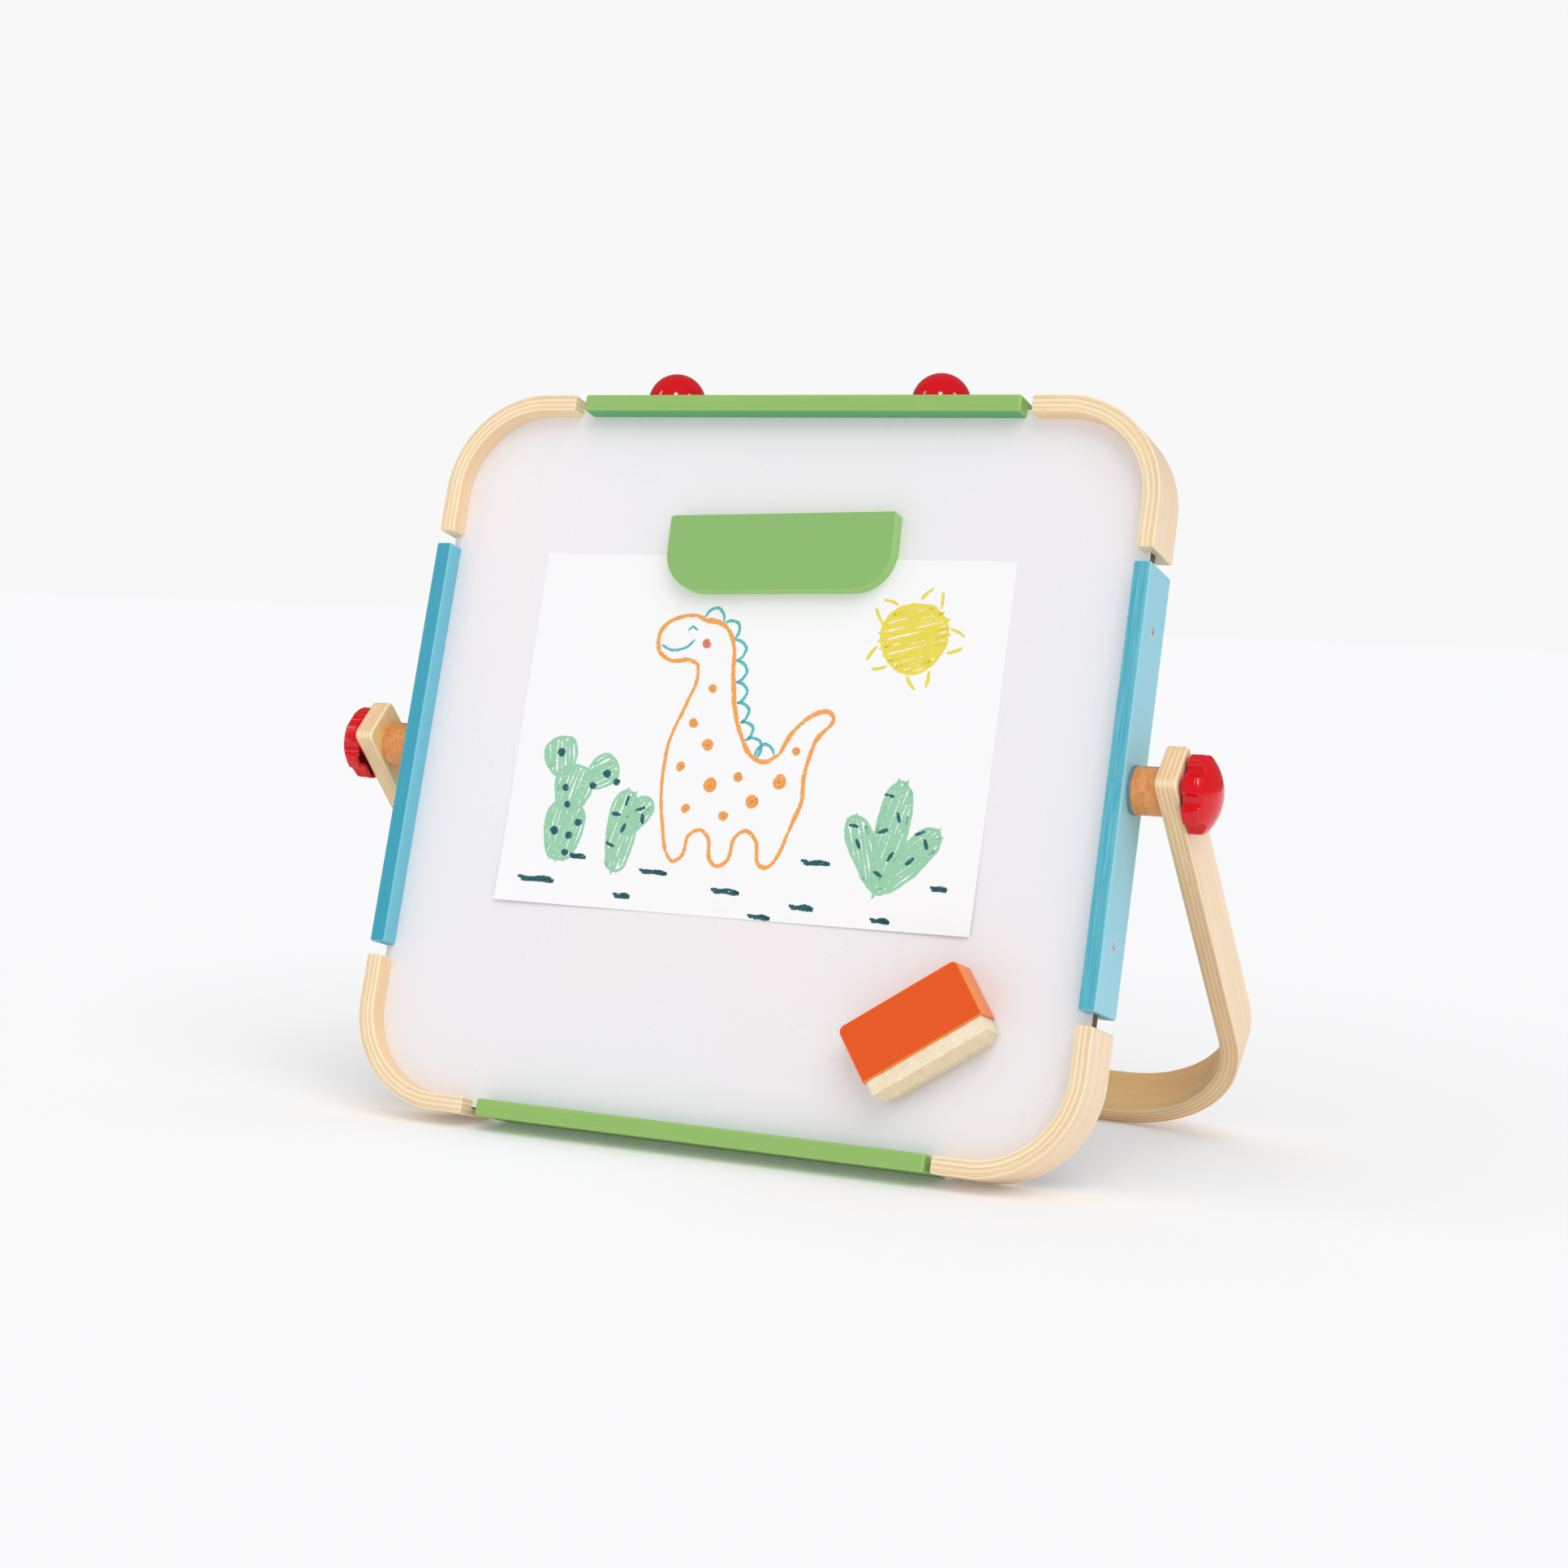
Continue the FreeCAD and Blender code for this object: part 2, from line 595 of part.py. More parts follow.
def bolt(label, side):
    """A round-headed bolt; local Z points away from the board and the head sits inside the knob."""
    shank = size("bolt_radius")
    head = size("bolt_head_radius")
    seat = ARM_OUTSIDE + size("knob_gap") + size("bolt_head_seat") - HALF_WIDTH
    tip = size("insert_length") - 1.3
    top = seat + size("bolt_head_height")
    seat_formula = "(Sizes.arm_gap + Sizes.bow_thickness + Sizes.knob_gap + Sizes.bolt_head_seat)"
    points = [(0, -tip), (shank - 0.8, -tip), (shank, -tip + 0.8), (shank, seat)]
    points += [(head, seat), (head, top), (0, top)]
    formulas = [
        ("0", "-(Sizes.insert_length - 1.3)"),
        ("Sizes.bolt_radius - 0.8", "-(Sizes.insert_length - 1.3)"),
        ("Sizes.bolt_radius", "-(Sizes.insert_length - 2.1)"),
        ("Sizes.bolt_radius", seat_formula),
        ("Sizes.bolt_head_radius", seat_formula),
        ("Sizes.bolt_head_radius", seat_formula + " + Sizes.bolt_head_height"),
        ("0", seat_formula + " + Sizes.bolt_head_height"),
    ]
    body = turned(label, points, formulas)
    return keep(body, label, side_place(side, HALF_WIDTH, out=PIVOT_OUT))


def cylinder(label, radius, height, across=0.0, turn=0.0, lift=0.0):
    item = doc.addObject("Part::Cylinder", label)
    item.setExpression("Radius", radius)
    item.setExpression("Height", height)
    angle = math.radians(turn)
    item.Placement = Placement(Vector(across * math.cos(angle), across * math.sin(angle), lift), Rotation())
    return item


def boolean(kind, label, first, second):
    item = doc.addObject("Part::" + kind, label)
    item.Base = first
    item.Tool = second
    return item


def star(label, radius, scallop, height):
    """A seven-lobed prism: a cylinder with scallops cut out of its rim."""
    blank = cylinder(label + "_blank", radius, height)
    cutters = []
    for step in range(SCALLOPS):
        turn = step * 360 / SCALLOPS
        name = f"{label}_scallop{step}"
        cutters.append(cylinder(name, scallop, height + " + 2", size("scallop_circle"), turn, -1.0))
    fused = doc.addObject("Part::MultiFuse", label + "_scallops")
    fused.Shapes = cutters
    return boolean("Cut", label + "_star", blank, fused)


def dome(label, shrink):
    """The ball that rounds the knob's top, made smaller for its inside."""
    ball = doc.addObject("Part::Sphere", label)
    ball.setExpression("Radius", f"Sizes.knob_dome_radius - {shrink}")
    ball.Placement = Placement(Vector(0, 0, size("knob_height") - size("knob_dome_radius")), Rotation())
    return ball


def star_knob(label, side):
    """A hollow star knob with a boss that holds the bolt's head; local Z points away from the board."""
    outside = star(label + "_out", "Sizes.knob_radius", "Sizes.scallop_radius", "Sizes.knob_height")
    outside = boolean("Common", label + "_domed", outside, dome(label + "_dome", "0"))
    wall = "Sizes.knob_wall"
    inner_radius = f"Sizes.knob_radius - {wall}"
    hollow = star(label + "_in", inner_radius, f"Sizes.scallop_radius + {wall}", "Sizes.knob_height")
    hollow = boolean("Common", label + "_hollow_domed", hollow, dome(label + "_hollow_dome", wall))
    boss = cylinder(label + "_boss", "Sizes.boss_radius", "Sizes.knob_height")
    hollow = boolean("Cut", label + "_hollow", hollow, boss)
    shell = boolean("Cut", label + "_shell", outside, hollow)
    under_rim = cylinder(label + "_under_rim", "Sizes.knob_radius + 1", "Sizes.knob_rim_lift + 1", lift=-1.0)
    foot = cylinder(label + "_foot", "Sizes.boss_radius", "Sizes.knob_height", lift=-1.0)
    under_rim = boolean("Cut", label + "_rim_gap", under_rim, foot)
    shell = boolean("Cut", label + "_lifted_shell", shell, under_rim)
    seat_lift = size("bolt_head_seat") - size("bolt_clearance")
    head_height = "Sizes.bolt_head_height + 2 * Sizes.bolt_clearance"
    head = cylinder(label + "_seat", "Sizes.bolt_head_radius + Sizes.bolt_clearance", head_height, lift=seat_lift)
    shank = cylinder(label + "_bore", BOLT_HOLE, "Sizes.bolt_head_seat + 2", lift=-1.0)
    holes = doc.addObject("Part::MultiFuse", label + "_holes")
    holes.Shapes = [head, shank]
    finished = boolean("Cut", label, shell, holes)
    doc.recompute()
    place = side_place(side, ARM_OUTSIDE + size("knob_gap"), out=PIVOT_OUT, roll=KNOB_TILT[side])
    keep(finished, label, place)


for name, side in (("left", -1), ("right", 1)):
    insert_place = side_place(side, HALF_WIDTH - size("insert_length"), out=PIVOT_OUT)
    tube(f"threaded_insert_{name}", insert_place, "Sizes.insert_radius", "Sizes.bolt_radius + 0.05",
         "Sizes.insert_length")
    washer_place = side_place(side, HALF_WIDTH, out=PIVOT_OUT)
    tube(f"rubber_washer_{name}", washer_place, "Sizes.washer_radius", BOLT_HOLE, "Sizes.washer_thickness")
    spacer_from = HALF_WIDTH + size("washer_thickness") + size("spacer_slack")
    spacer_place = side_place(side, spacer_from, out=PIVOT_OUT, roll=30.0)
    tube(f"spacer_{name}", spacer_place, "Sizes.spacer_radius", BOLT_HOLE,
         "Sizes.arm_gap - Sizes.washer_thickness - Sizes.spacer_slack")
    bolt(f"knob_bolt_{name}", side)
    star_knob(f"star_knob_{name}", side)


# ---- the stand --------------------------------------------------------------------------------

def bow():
    """One strip bent into a U; local Y runs up the arms from the pivot and the foot is at -Y."""
    body = new_body("stand_bow")
    band = new_sketch(body, "bow_band")
    top = size("arm_end")
    faces = (
        (ARM_OUTSIDE, size("bow_radius"), STAND_LENGTH),
        (ARM_INSIDE, size("bow_radius") - size("bow_thickness"), STAND_LENGTH - size("bow_thickness")),
    )
    for half, radius, reach in faces:
        start = band.GeometryCount
        bend = -reach + radius
        diagonal = radius * math.sqrt(0.5)
        band.addGeometry(Part.LineSegment(Vector(-half, top, 0), Vector(-half, bend, 0)), False)
        low_left = Vector(-half + radius - diagonal, bend - diagonal, 0)
        band.addGeometry(Part.Arc(Vector(-half, bend, 0), low_left, Vector(-half + radius, -reach, 0)), False)
        band.addGeometry(Part.LineSegment(Vector(-half + radius, -reach, 0), Vector(half - radius, -reach, 0)), False)
        low_right = Vector(half - radius + diagonal, bend - diagonal, 0)
        band.addGeometry(Part.Arc(Vector(half - radius, -reach, 0), low_right, Vector(half, bend, 0)), False)
        band.addGeometry(Part.LineSegment(Vector(half, bend, 0), Vector(half, top, 0)), False)
        for step in range(4):
            here = band.getPoint(start + step, 2)
            following = start + step + 1
            if band.getPoint(following, 1).distanceToPoint(here) < 0.01:
                band.addConstraint(Sketcher.Constraint("Coincident", start + step, 2, following, 1))
        for line, way in ((0, "Vertical"), (2, "Horizontal"), (4, "Vertical")):
            band.addConstraint(Sketcher.Constraint(way, start + line))
    outer_first, inner_first = 0, 5
    for first, point in ((0, 1), (4, 2)):
        here = band.getPoint(outer_first + first, point)
        there = band.getPoint(inner_first + first, point)
        line = band.addGeometry(Part.LineSegment(here, there), False)
        band.addConstraint(Sketcher.Constraint("Coincident", line, 1, outer_first + first, point))
        band.addConstraint(Sketcher.Constraint("Coincident", line, 2, inner_first + first, point))
        band.addConstraint(Sketcher.Constraint("Horizontal", line))
    inside = "(Sizes.frame_width / 2 + Sizes.arm_gap)"
    reach = Sketcher.Constraint("DistanceX", -1, 1, 9, 2, ARM_INSIDE)
    bind(band, reach, "arm_inside", inside)
    reach = Sketcher.Constraint("DistanceX", -1, 1, 4, 2, ARM_OUTSIDE)
    bind(band, reach, "arm_outside", inside + " + Sizes.bow_thickness")
    reach = Sketcher.Constraint("DistanceY", -1, 1, 4, 2, top)
    bind(band, reach, "arm_end", "Sizes.arm_end")
    pad(body, band, "Sizes.bow_width", midplane=True)

    def arm_end_corner(edge):
        middle = edge.CenterOfMass
        return along(AXIS_X)(edge) and middle.y > size("arm_end") - 0.1

    dress(body, "Fillet", "Sizes.arm_end_round", arm_end_corner)

    dress(body, "Fillet", "Sizes.bow_edge_round", rim_edge)
    hole = new_sketch(body, "bow_hole", "YZ_Plane")
    draw_circle(hole, BOLT_HOLE)
    pocket(body, hole, "2 * (Sizes.frame_width / 2 + Sizes.arm_gap + Sizes.bow_thickness) + 4", midplane=True)
    return keep(body, "stand_bow", stand_place())


def rim_edge(edge):
    """An edge between a wide face of the strip and one of its rims."""
    runs_across = along(AXIS_X)(edge) and edge.Length < size("bow_thickness") + 0.5
    return not runs_across


bow()


# ---- the magnetic clip, the sheet of paper and the eraser -------------------------------------

def magnets(label, spacing, count, place):
    """Round magnets in a row, sunk in the back of what they hold."""
    discs = []
    for step in range(count):
        disc = cylinder(f"{label}_{step}", "Sizes.magnet_radius", "Sizes.magnet_thickness",
                        (step - (count - 1) / 2) * size(spacing))
        disc.Placement = place.multiply(disc.Placement)
        discs.append(disc)
    group(label, discs)


def magnet_pockets(body, label, spacing, count):
    sketch = new_sketch(body, label)
    for step in range(count):
        draw_circle(sketch, "Sizes.magnet_radius", f"{step - (count - 1) / 2} * Sizes.{spacing}")
    pocket(body, sketch, "Sizes.magnet_thickness", backwards=True)


def clip():
    """A flat bar with large round lower corners; three magnets in its back pinch the paper."""
    body = new_body("clip_plate")
    outline = new_sketch(body, "clip_outline")
    draw_rectangle(outline, "-Sizes.clip_width / 2", "Sizes.clip_width / 2",
                   "-Sizes.clip_height / 2", "Sizes.clip_height / 2")
    pad(body, outline, "Sizes.clip_thickness")

    def corner(low):
        return lambda edge: along(AXIS_Z)(edge) and (edge.CenterOfMass.y < 0) == low

    dress(body, "Fillet", "Sizes.clip_corner", corner(True))
    dress(body, "Fillet", "Sizes.clip_top_corner", corner(False))
    dress(body, "Fillet", "Sizes.eraser_round",
          lambda edge: edge.BoundBox.ZMin > size("clip_thickness") - 0.01)
    magnet_pockets(body, "clip_pockets", "clip_magnet_spacing", 3)
    out = -recess + 2 * size("laying_gap") + size("sheet_thickness")
    place = board_place(*CLIP_PLACE, out, size("clip_angle"))
    keep(body, "clip_plate", place)
    magnets("clip_magnets", "clip_magnet_spacing", 3, place)


def paper():
    body = new_body("paper_sheet")
    outline = new_sketch(body, "paper_outline")
    draw_rectangle(outline, "-Sizes.sheet_width / 2", "Sizes.sheet_width / 2",
                   "-Sizes.sheet_height / 2", "Sizes.sheet_height / 2")
    pad(body, outline, "Sizes.sheet_thickness")
    keep(body, "paper_sheet", board_place(*SHEET_PLACE, -recess + size("laying_gap"), size("sheet_angle")))


def eraser():
    """A block lying on its side against the board, with a felt pad along its lower edge."""
    place = board_place(*ERASER_PLACE, -recess + 2 * size("laying_gap"), size("eraser_angle"))
    body = new_body("eraser_body")
    outline = new_sketch(body, "eraser_outline")
    draw_rectangle(outline, "-Sizes.eraser_length / 2", "Sizes.eraser_length / 2",
                   "-Sizes.eraser_height / 2", "Sizes.eraser_height / 2")
    pad(body, outline, "Sizes.eraser_depth")
    dress(body, "Fillet", "Sizes.eraser_corner",
          lambda edge: along(AXIS_Z)(edge) and edge.CenterOfMass.y > 0)
    dress(body, "Fillet", "Sizes.eraser_round",
          lambda edge: edge.BoundBox.ZLength < 0.01)
    magnet_pockets(body, "eraser_pockets", "eraser_magnet_spacing", 2)
    keep(body, "eraser_body", place)
    magnets("eraser_magnets", "eraser_magnet_spacing", 2, place)

    felt = new_body("eraser_felt")
    outline = new_sketch(felt, "felt_outline", "XZ_Plane", lift=size("eraser_height") / 2)
    edge_gap = "(Sizes.eraser_depth - Sizes.felt_depth) / 2"
    draw_rectangle(outline, "-Sizes.felt_length / 2", "Sizes.felt_length / 2",
                   edge_gap, "Sizes.eraser_depth - " + edge_gap)
    pad(felt, outline, "Sizes.felt_height")
    bottom = -size("eraser_height") / 2 - size("felt_height")
    dress(felt, "Chamfer", "Sizes.felt_chamfer", lambda edge: edge.BoundBox.YMax < bottom + 0.01)
    keep(felt, "eraser_felt", place)


clip()
paper()
eraser()


# ---- checks and export ------------------------------------------------------------------------

doc.recompute()
for item in doc.Objects:
    if "Invalid" in item.State or "Error" in item.State:
        raise RuntimeError(f"{item.Name} failed: {item.State}")
for item in PARTS:
    if item.Shape.isNull() or not item.Shape.isValid():
        raise RuntimeError(f"{item.Label} has no sound shape")

for item in PARTS:
    item.Shape.exportStep(f"parts/{item.Label}.step")

print(f"{len(PARTS)} nodes written")
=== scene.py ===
import json
import math
import random

import bmesh
import bpy
from mathutils import Matrix, Vector, noise


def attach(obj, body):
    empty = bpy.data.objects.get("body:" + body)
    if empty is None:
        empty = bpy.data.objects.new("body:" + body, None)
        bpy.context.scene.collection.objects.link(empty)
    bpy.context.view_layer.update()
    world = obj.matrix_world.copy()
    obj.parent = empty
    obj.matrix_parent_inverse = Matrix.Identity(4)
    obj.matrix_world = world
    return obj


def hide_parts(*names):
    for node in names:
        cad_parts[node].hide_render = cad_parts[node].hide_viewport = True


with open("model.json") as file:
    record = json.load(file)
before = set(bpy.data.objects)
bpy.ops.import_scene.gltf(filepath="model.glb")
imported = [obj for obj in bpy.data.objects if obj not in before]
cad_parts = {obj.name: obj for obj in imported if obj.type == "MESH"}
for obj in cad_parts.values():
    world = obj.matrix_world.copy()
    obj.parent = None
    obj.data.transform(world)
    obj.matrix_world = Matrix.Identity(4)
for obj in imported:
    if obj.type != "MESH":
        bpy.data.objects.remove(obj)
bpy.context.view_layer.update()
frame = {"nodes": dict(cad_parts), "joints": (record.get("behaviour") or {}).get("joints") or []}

nodes = frame["nodes"]
joints = {joint["name"]: joint for joint in frame["joints"]}
MM = 0.001
AXIS_X = Vector((1, 0, 0))

# ---- the places that everything is built from -------------------------------------------------

LEAN = math.radians(15.0)
STAND_ANGLE = math.radians(42.5)
FRAME_WIDTH, FRAME_HEIGHT, FRAME_DEPTH = 449 * MM, 431 * MM, 37 * MM
CORNER_RADIUS, STRIP = 60 * MM, 10 * MM
BOARD_RECESS = 12 * MM
BOW_REACH, BOW_RADIUS, BOW_STRIP = 275.29 * MM, 89 * MM, 12 * MM

pivot = Vector(joints["stand_swing"]["pos_m"])
board_place = Matrix.Rotation(math.pi / 2 - LEAN, 4, "X")
board_place.translation = pivot - board_place.to_3x3() @ Vector((0, 0, -FRAME_DEPTH / 2))
stand_place = Matrix.Rotation(math.pi / 2 + STAND_ANGLE, 4, "X")
stand_place.translation = pivot


def laid_on_board(x, y, out, turn):
    """A place on the board: local X and Y in its face, Z out of it; turn is in degrees."""
    return board_place @ Matrix.Translation((x, y, out)) @ Matrix.Rotation(math.radians(turn), 4, "Z")


sheet_place = laid_on_board(-3.6 * MM, 16.4 * MM, -BOARD_RECESS + 0.05 * MM, 0.4)
eraser_place = laid_on_board(125 * MM, -137.5 * MM, -BOARD_RECESS + 0.1 * MM, 35.0)


# ---- wiring tools for the materials -----------------------------------------------------------

class Wiring:
    """A node tree with short calls that add a node and give back the socket it puts out."""

    def __init__(self, tree):
        self.tree = tree

    def plug(self, value, socket):
        if isinstance(value, bpy.types.NodeSocket):
            self.tree.links.new(value, socket)
        elif value is not None:
            socket.default_value = value

    def node(self, kind, inputs=(), **settings):
        item = self.tree.nodes.new(kind)
        for name, setting in settings.items():
            setattr(item, name, setting)
        for name, value in dict(inputs).items():
            self.plug(value, item.inputs[name])
        return item

    def math(self, operation, first, second=0.0, third=0.0, clamp=False):
        item = self.node("ShaderNodeMath", operation=operation, use_clamp=clamp)
        for value, socket in zip((first, second, third), item.inputs):
            self.plug(value, socket)
        return item.outputs[0]

    def ramp(self, value, low, high, to_low=0.0, to_high=1.0):
        inputs = {"Value": value, "From Min": low, "From Max": high, "To Min": to_low, "To Max": to_high}
        return self.node("ShaderNodeMapRange", inputs, interpolation_type="SMOOTHSTEP").outputs[0]

    def split(self, vector):
        return self.node("ShaderNodeSeparateXYZ", {"Vector": vector}).outputs

    def join(self, x, y, z):
        return self.node("ShaderNodeCombineXYZ", {"X": x, "Y": y, "Z": z}).outputs[0]

    def stretch(self, vector, scale):
        item = self.node("ShaderNodeVectorMath", operation="MULTIPLY")
        self.plug(vector, item.inputs[0])
        self.plug(scale, item.inputs[1])
        return item.outputs[0]

    def noise(self, vector, scale, detail=3.0, rough=0.55, distortion=0.0):
        inputs = {"Vector": vector, "Scale": scale, "Detail": detail, "Roughness": rough, "Distortion": distortion}
        return self.node("ShaderNodeTexNoise", inputs).outputs[0]

    def mix(self, factor, first, second, blend="MIX"):
        item = self.node("ShaderNodeMix", data_type="RGBA", blend_type=blend)
        self.plug(factor, item.inputs[0])
        self.plug(first, item.inputs[6])
        self.plug(second, item.inputs[7])
        return item.outputs[2]

    def group(self, tree, **inputs):
        item = self.node("ShaderNodeGroup", node_tree=tree)
        for name, value in inputs.items():
            self.plug(value, item.inputs[name.replace("_", " ").capitalize()])
        return item.outputs

    def bump(self, height, distance, strength=1.0, normal=None):
        inputs = {"Height": height, "Distance": distance, "Strength": strength, "Normal": normal}
        return self.node("ShaderNodeBump", inputs).outputs[0]


def shade_group(name, inputs, outputs):
    """A node group; inputs and outputs are {name: kind} with kind Float, Vector or Color."""
    tree = bpy.data.node_groups.new(name, "ShaderNodeTree")
    for way, sockets in (("INPUT", inputs), ("OUTPUT", outputs)):
        for label, kind in sockets.items():
            tree.interface.new_socket(label, in_out=way, socket_type="NodeSocket" + kind)
    wires = Wiring(tree)
    start = tree.nodes.new("NodeGroupInput").outputs
    end = tree.nodes.new("NodeGroupOutput").inputs
    return wires, start, end


def make_strip_group():
    """Along, across and through a strip that follows a rectangle's outline with round corners."""
    sizes = {"Half width": "Float", "Half height": "Float", "Corner": "Float"}
    outputs = {"Strip": "Vector", "Depth": "Float", "Cut": "Float", "Edge": "Float"}
    wires, given, out = shade_group("strip", {"Point": "Vector", "Normal": "Vector", **sizes}, outputs)
    x, y, z = wires.split(given["Point"])
    past = []
    for value, half in ((x, given["Half width"]), (y, given["Half height"])):
        straight = wires.math("SUBTRACT", half, given["Corner"])
        past.append(wires.math("SUBTRACT", wires.math("ABSOLUTE", value), straight))
    over = [wires.math("MAXIMUM", value, 0.0) for value in past]
    squares = wires.math("ADD", wires.math("MULTIPLY", over[0], over[0]), wires.math("MULTIPLY", over[1], over[1]))
    reach = wires.math("SQRT", squares)
    depth = wires.math("SUBTRACT", given["Corner"], reach)
    turn = wires.math("MULTIPLY", wires.math("ARCTAN2", over[0], over[1]), given["Corner"])
    legs = wires.math("SUBTRACT", wires.math("MINIMUM", past[0], 0.0), wires.math("MINIMUM", past[1], 0.0))
    corner = wires.math("ADD", wires.math("SIGN", x), wires.math("MULTIPLY", wires.math("SIGN", y), 2.3))
    along = wires.math("ADD", wires.math("ADD", turn, legs), corner)
    wires.plug(wires.join(along, depth, z), out["Strip"])
    wires.plug(depth, out["Depth"])
    lean_x, lean_y, lean_z = wires.split(given["Normal"])
    outward = wires.math("ADD", wires.math("MULTIPLY", wires.math("MULTIPLY", lean_x, wires.math("SIGN", x)), over[0]),
                         wires.math("MULTIPLY", wires.math("MULTIPLY", lean_y, wires.math("SIGN", y)), over[1]))
    faced = wires.math("ABSOLUTE", wires.math("DIVIDE", outward, wires.math("MAXIMUM", reach, 0.001)))
    rim = wires.math("ABSOLUTE", lean_z)
    both = wires.math("ADD", wires.math("MULTIPLY", faced, faced), wires.math("MULTIPLY", rim, rim))
    ends = wires.math("SQRT", wires.math("MAXIMUM", wires.math("SUBTRACT", 1.0, both), 0.0))
    wires.plug(wires.ramp(faced, 0.55, 0.85, 1.0, 0.0), out["Cut"])
    flattest = wires.math("MAXIMUM", wires.math("MAXIMUM", faced, rim), ends)
    wires.plug(wires.ramp(wires.math("SUBTRACT", 1.0, flattest), 0.03, 0.22), out["Edge"])
    return wires.tree


def make_ply_group():
    """The layers of plywood seen on its cut faces."""
    inputs = {"Strip": "Vector", "Depth": "Float", "Thickness": "Float", "Layers": "Float"}
    outputs = {"Glue": "Float", "Cross": "Float", "Tint": "Float", "Lines": "Float"}
    wires, given, out = shade_group("plies", inputs, outputs)
    sway = wires.noise(wires.stretch(given["Strip"], (14, 0, 0)), 1.0, 2.0)
    place = wires.math("MULTIPLY", wires.math("DIVIDE", given["Depth"], given["Thickness"]), given["Layers"])
    place = wires.math("ADD", place, wires.math("MULTIPLY", wires.math("SUBTRACT", sway, 0.5), 0.30))
    uneven = wires.noise(wires.join(3.7, wires.math("MULTIPLY", given["Depth"], 330.0), 0.0), 1.0, 0.0)
    place = wires.math("ADD", place, wires.math("MULTIPLY", wires.math("SUBTRACT", uneven, 0.5), 1.7))
    last = wires.math("SUBTRACT", given["Layers"], 0.05)
    place = wires.math("MINIMUM", wires.math("MAXIMUM", place, 0.05), last)
    layer = wires.math("FLOOR", place)
    seam = wires.math("ROUND", place)
    gap = wires.math("ABSOLUTE", wires.math("SUBTRACT", place, seam))
    inner = wires.math("MULTIPLY", wires.math("GREATER_THAN", seam, 0.5),
                       wires.math("LESS_THAN", seam, wires.math("SUBTRACT", given["Layers"], 0.5)))
    share = wires.node("ShaderNodeTexWhiteNoise", {"W": wires.math("ADD", seam, 0.37)}, noise_dimensions="1D")
    strength = wires.ramp(share.outputs["Value"], 0.0, 1.0, 0.15, 1.0)
    breaks = wires.ramp(wires.noise(wires.stretch(given["Strip"], (60, 900, 100)), 1.0, 3.0), 0.3, 0.6, 0.35, 1.0)
    line = wires.ramp(gap, 0.03, 0.17, 1.0, 0.0)
    glue = wires.math("MULTIPLY", wires.math("MULTIPLY", line, inner), wires.math("MULTIPLY", strength, breaks))
    wires.plug(glue, out["Glue"])
    wires.plug(wires.math("MODULO", layer, 2.0), out["Cross"])
    tint = wires.node("ShaderNodeTexWhiteNoise", {"W": wires.math("ADD", layer, 0.71)}, noise_dimensions="1D")
    wires.plug(tint.outputs["Value"], out["Tint"])
    fine = wires.noise(wires.stretch(given["Strip"], (9, 2300, 60)), 1.0, 2.0)
    wires.plug(wires.ramp(fine, 0.48, 0.72), out["Lines"])
    return wires.tree


def make_grain_group():
    """Long wood grain: soft streaks, fine fibres and small dark pores that run along X."""
    outputs = {"Streaks": "Float", "Fibres": "Float", "Pores": "Float"}
    wires, given, out = shade_group("grain", {"Strip": "Vector", "Scale": "Float"}, outputs)
    point = wires.node("ShaderNodeVectorMath", operation="SCALE")
    wires.plug(given["Strip"], point.inputs[0])
    wires.plug(given["Scale"], point.inputs["Scale"])
    point = point.outputs[0]
    broad = wires.noise(wires.stretch(point, (6, 130, 130)), 1.0, 3.0, 0.5, 0.6)
    wires.plug(wires.ramp(broad, 0.3, 0.72), out["Streaks"])
    wires.plug(wires.noise(wires.stretch(point, (30, 900, 900)), 1.0, 2.0), out["Fibres"])
    dots = wires.noise(wires.stretch(point, (220, 1500, 1500)), 1.0, 1.0)
    wires.plug(wires.ramp(dots, 0.70, 0.78), out["Pores"])
    return wires.tree


def make_orange_peel_group():
    """The fine waviness of sprayed paint or moulded plastic."""
    wires, given, out = shade_group("orange_peel", {"Point": "Vector", "Scale": "Float"}, {"Height": "Float"})
    wires.plug(wires.noise(given["Point"], given["Scale"], 2.0, 0.5), out["Height"])
    return wires.tree


def make_smudge_group():
    """Cloudy patches, as wiping leaves on a board or fingers on plastic."""
    inputs = {"Point": "Vector", "Scale": "Float"}
    wires, given, out = shade_group("smudges", inputs, {"Mask": "Float"})
    cloud = wires.noise(given["Point"], given["Scale"], 5.0, 0.62, 0.8)
    wires.plug(wires.ramp(cloud, 0.42, 0.68), out["Mask"])
    return wires.tree


STRIP_GROUP = make_strip_group()
PLY_GROUP = make_ply_group()
GRAIN_GROUP = make_grain_group()
PEEL_GROUP = make_orange_peel_group()
SMUDGE_GROUP = make_smudge_group()


def new_material(name, **sockets):
    """A material with one Principled shader; sockets are its plain settings."""
    material = bpy.data.materials.new(name)
    material.use_nodes = True
    wires = Wiring(material.node_tree)
    shader = material.node_tree.nodes["Principled BSDF"]
    for label, value in sockets.items():
        wires.plug(value, shader.inputs[label.replace("_", " ")])
    return material, wires, shader.inputs


def local(wires, place=None):
    """The point and the normal in a place's own axes."""
    source = wires.node("ShaderNodeTexCoord").outputs
    if place is None:
        return source["Object"], source["Normal"]
    spin = place.to_euler("XYZ")
    turned = []
    for label, kind in (("Object", "TEXTURE"), ("Normal", "TEXTURE")):
        inputs = {"Vector": source[label], "Rotation": spin}
        if label == "Object":
            inputs["Location"] = place.translation
        turned.append(wires.node("ShaderNodeMapping", inputs, vector_type=kind).outputs[0])
    return turned


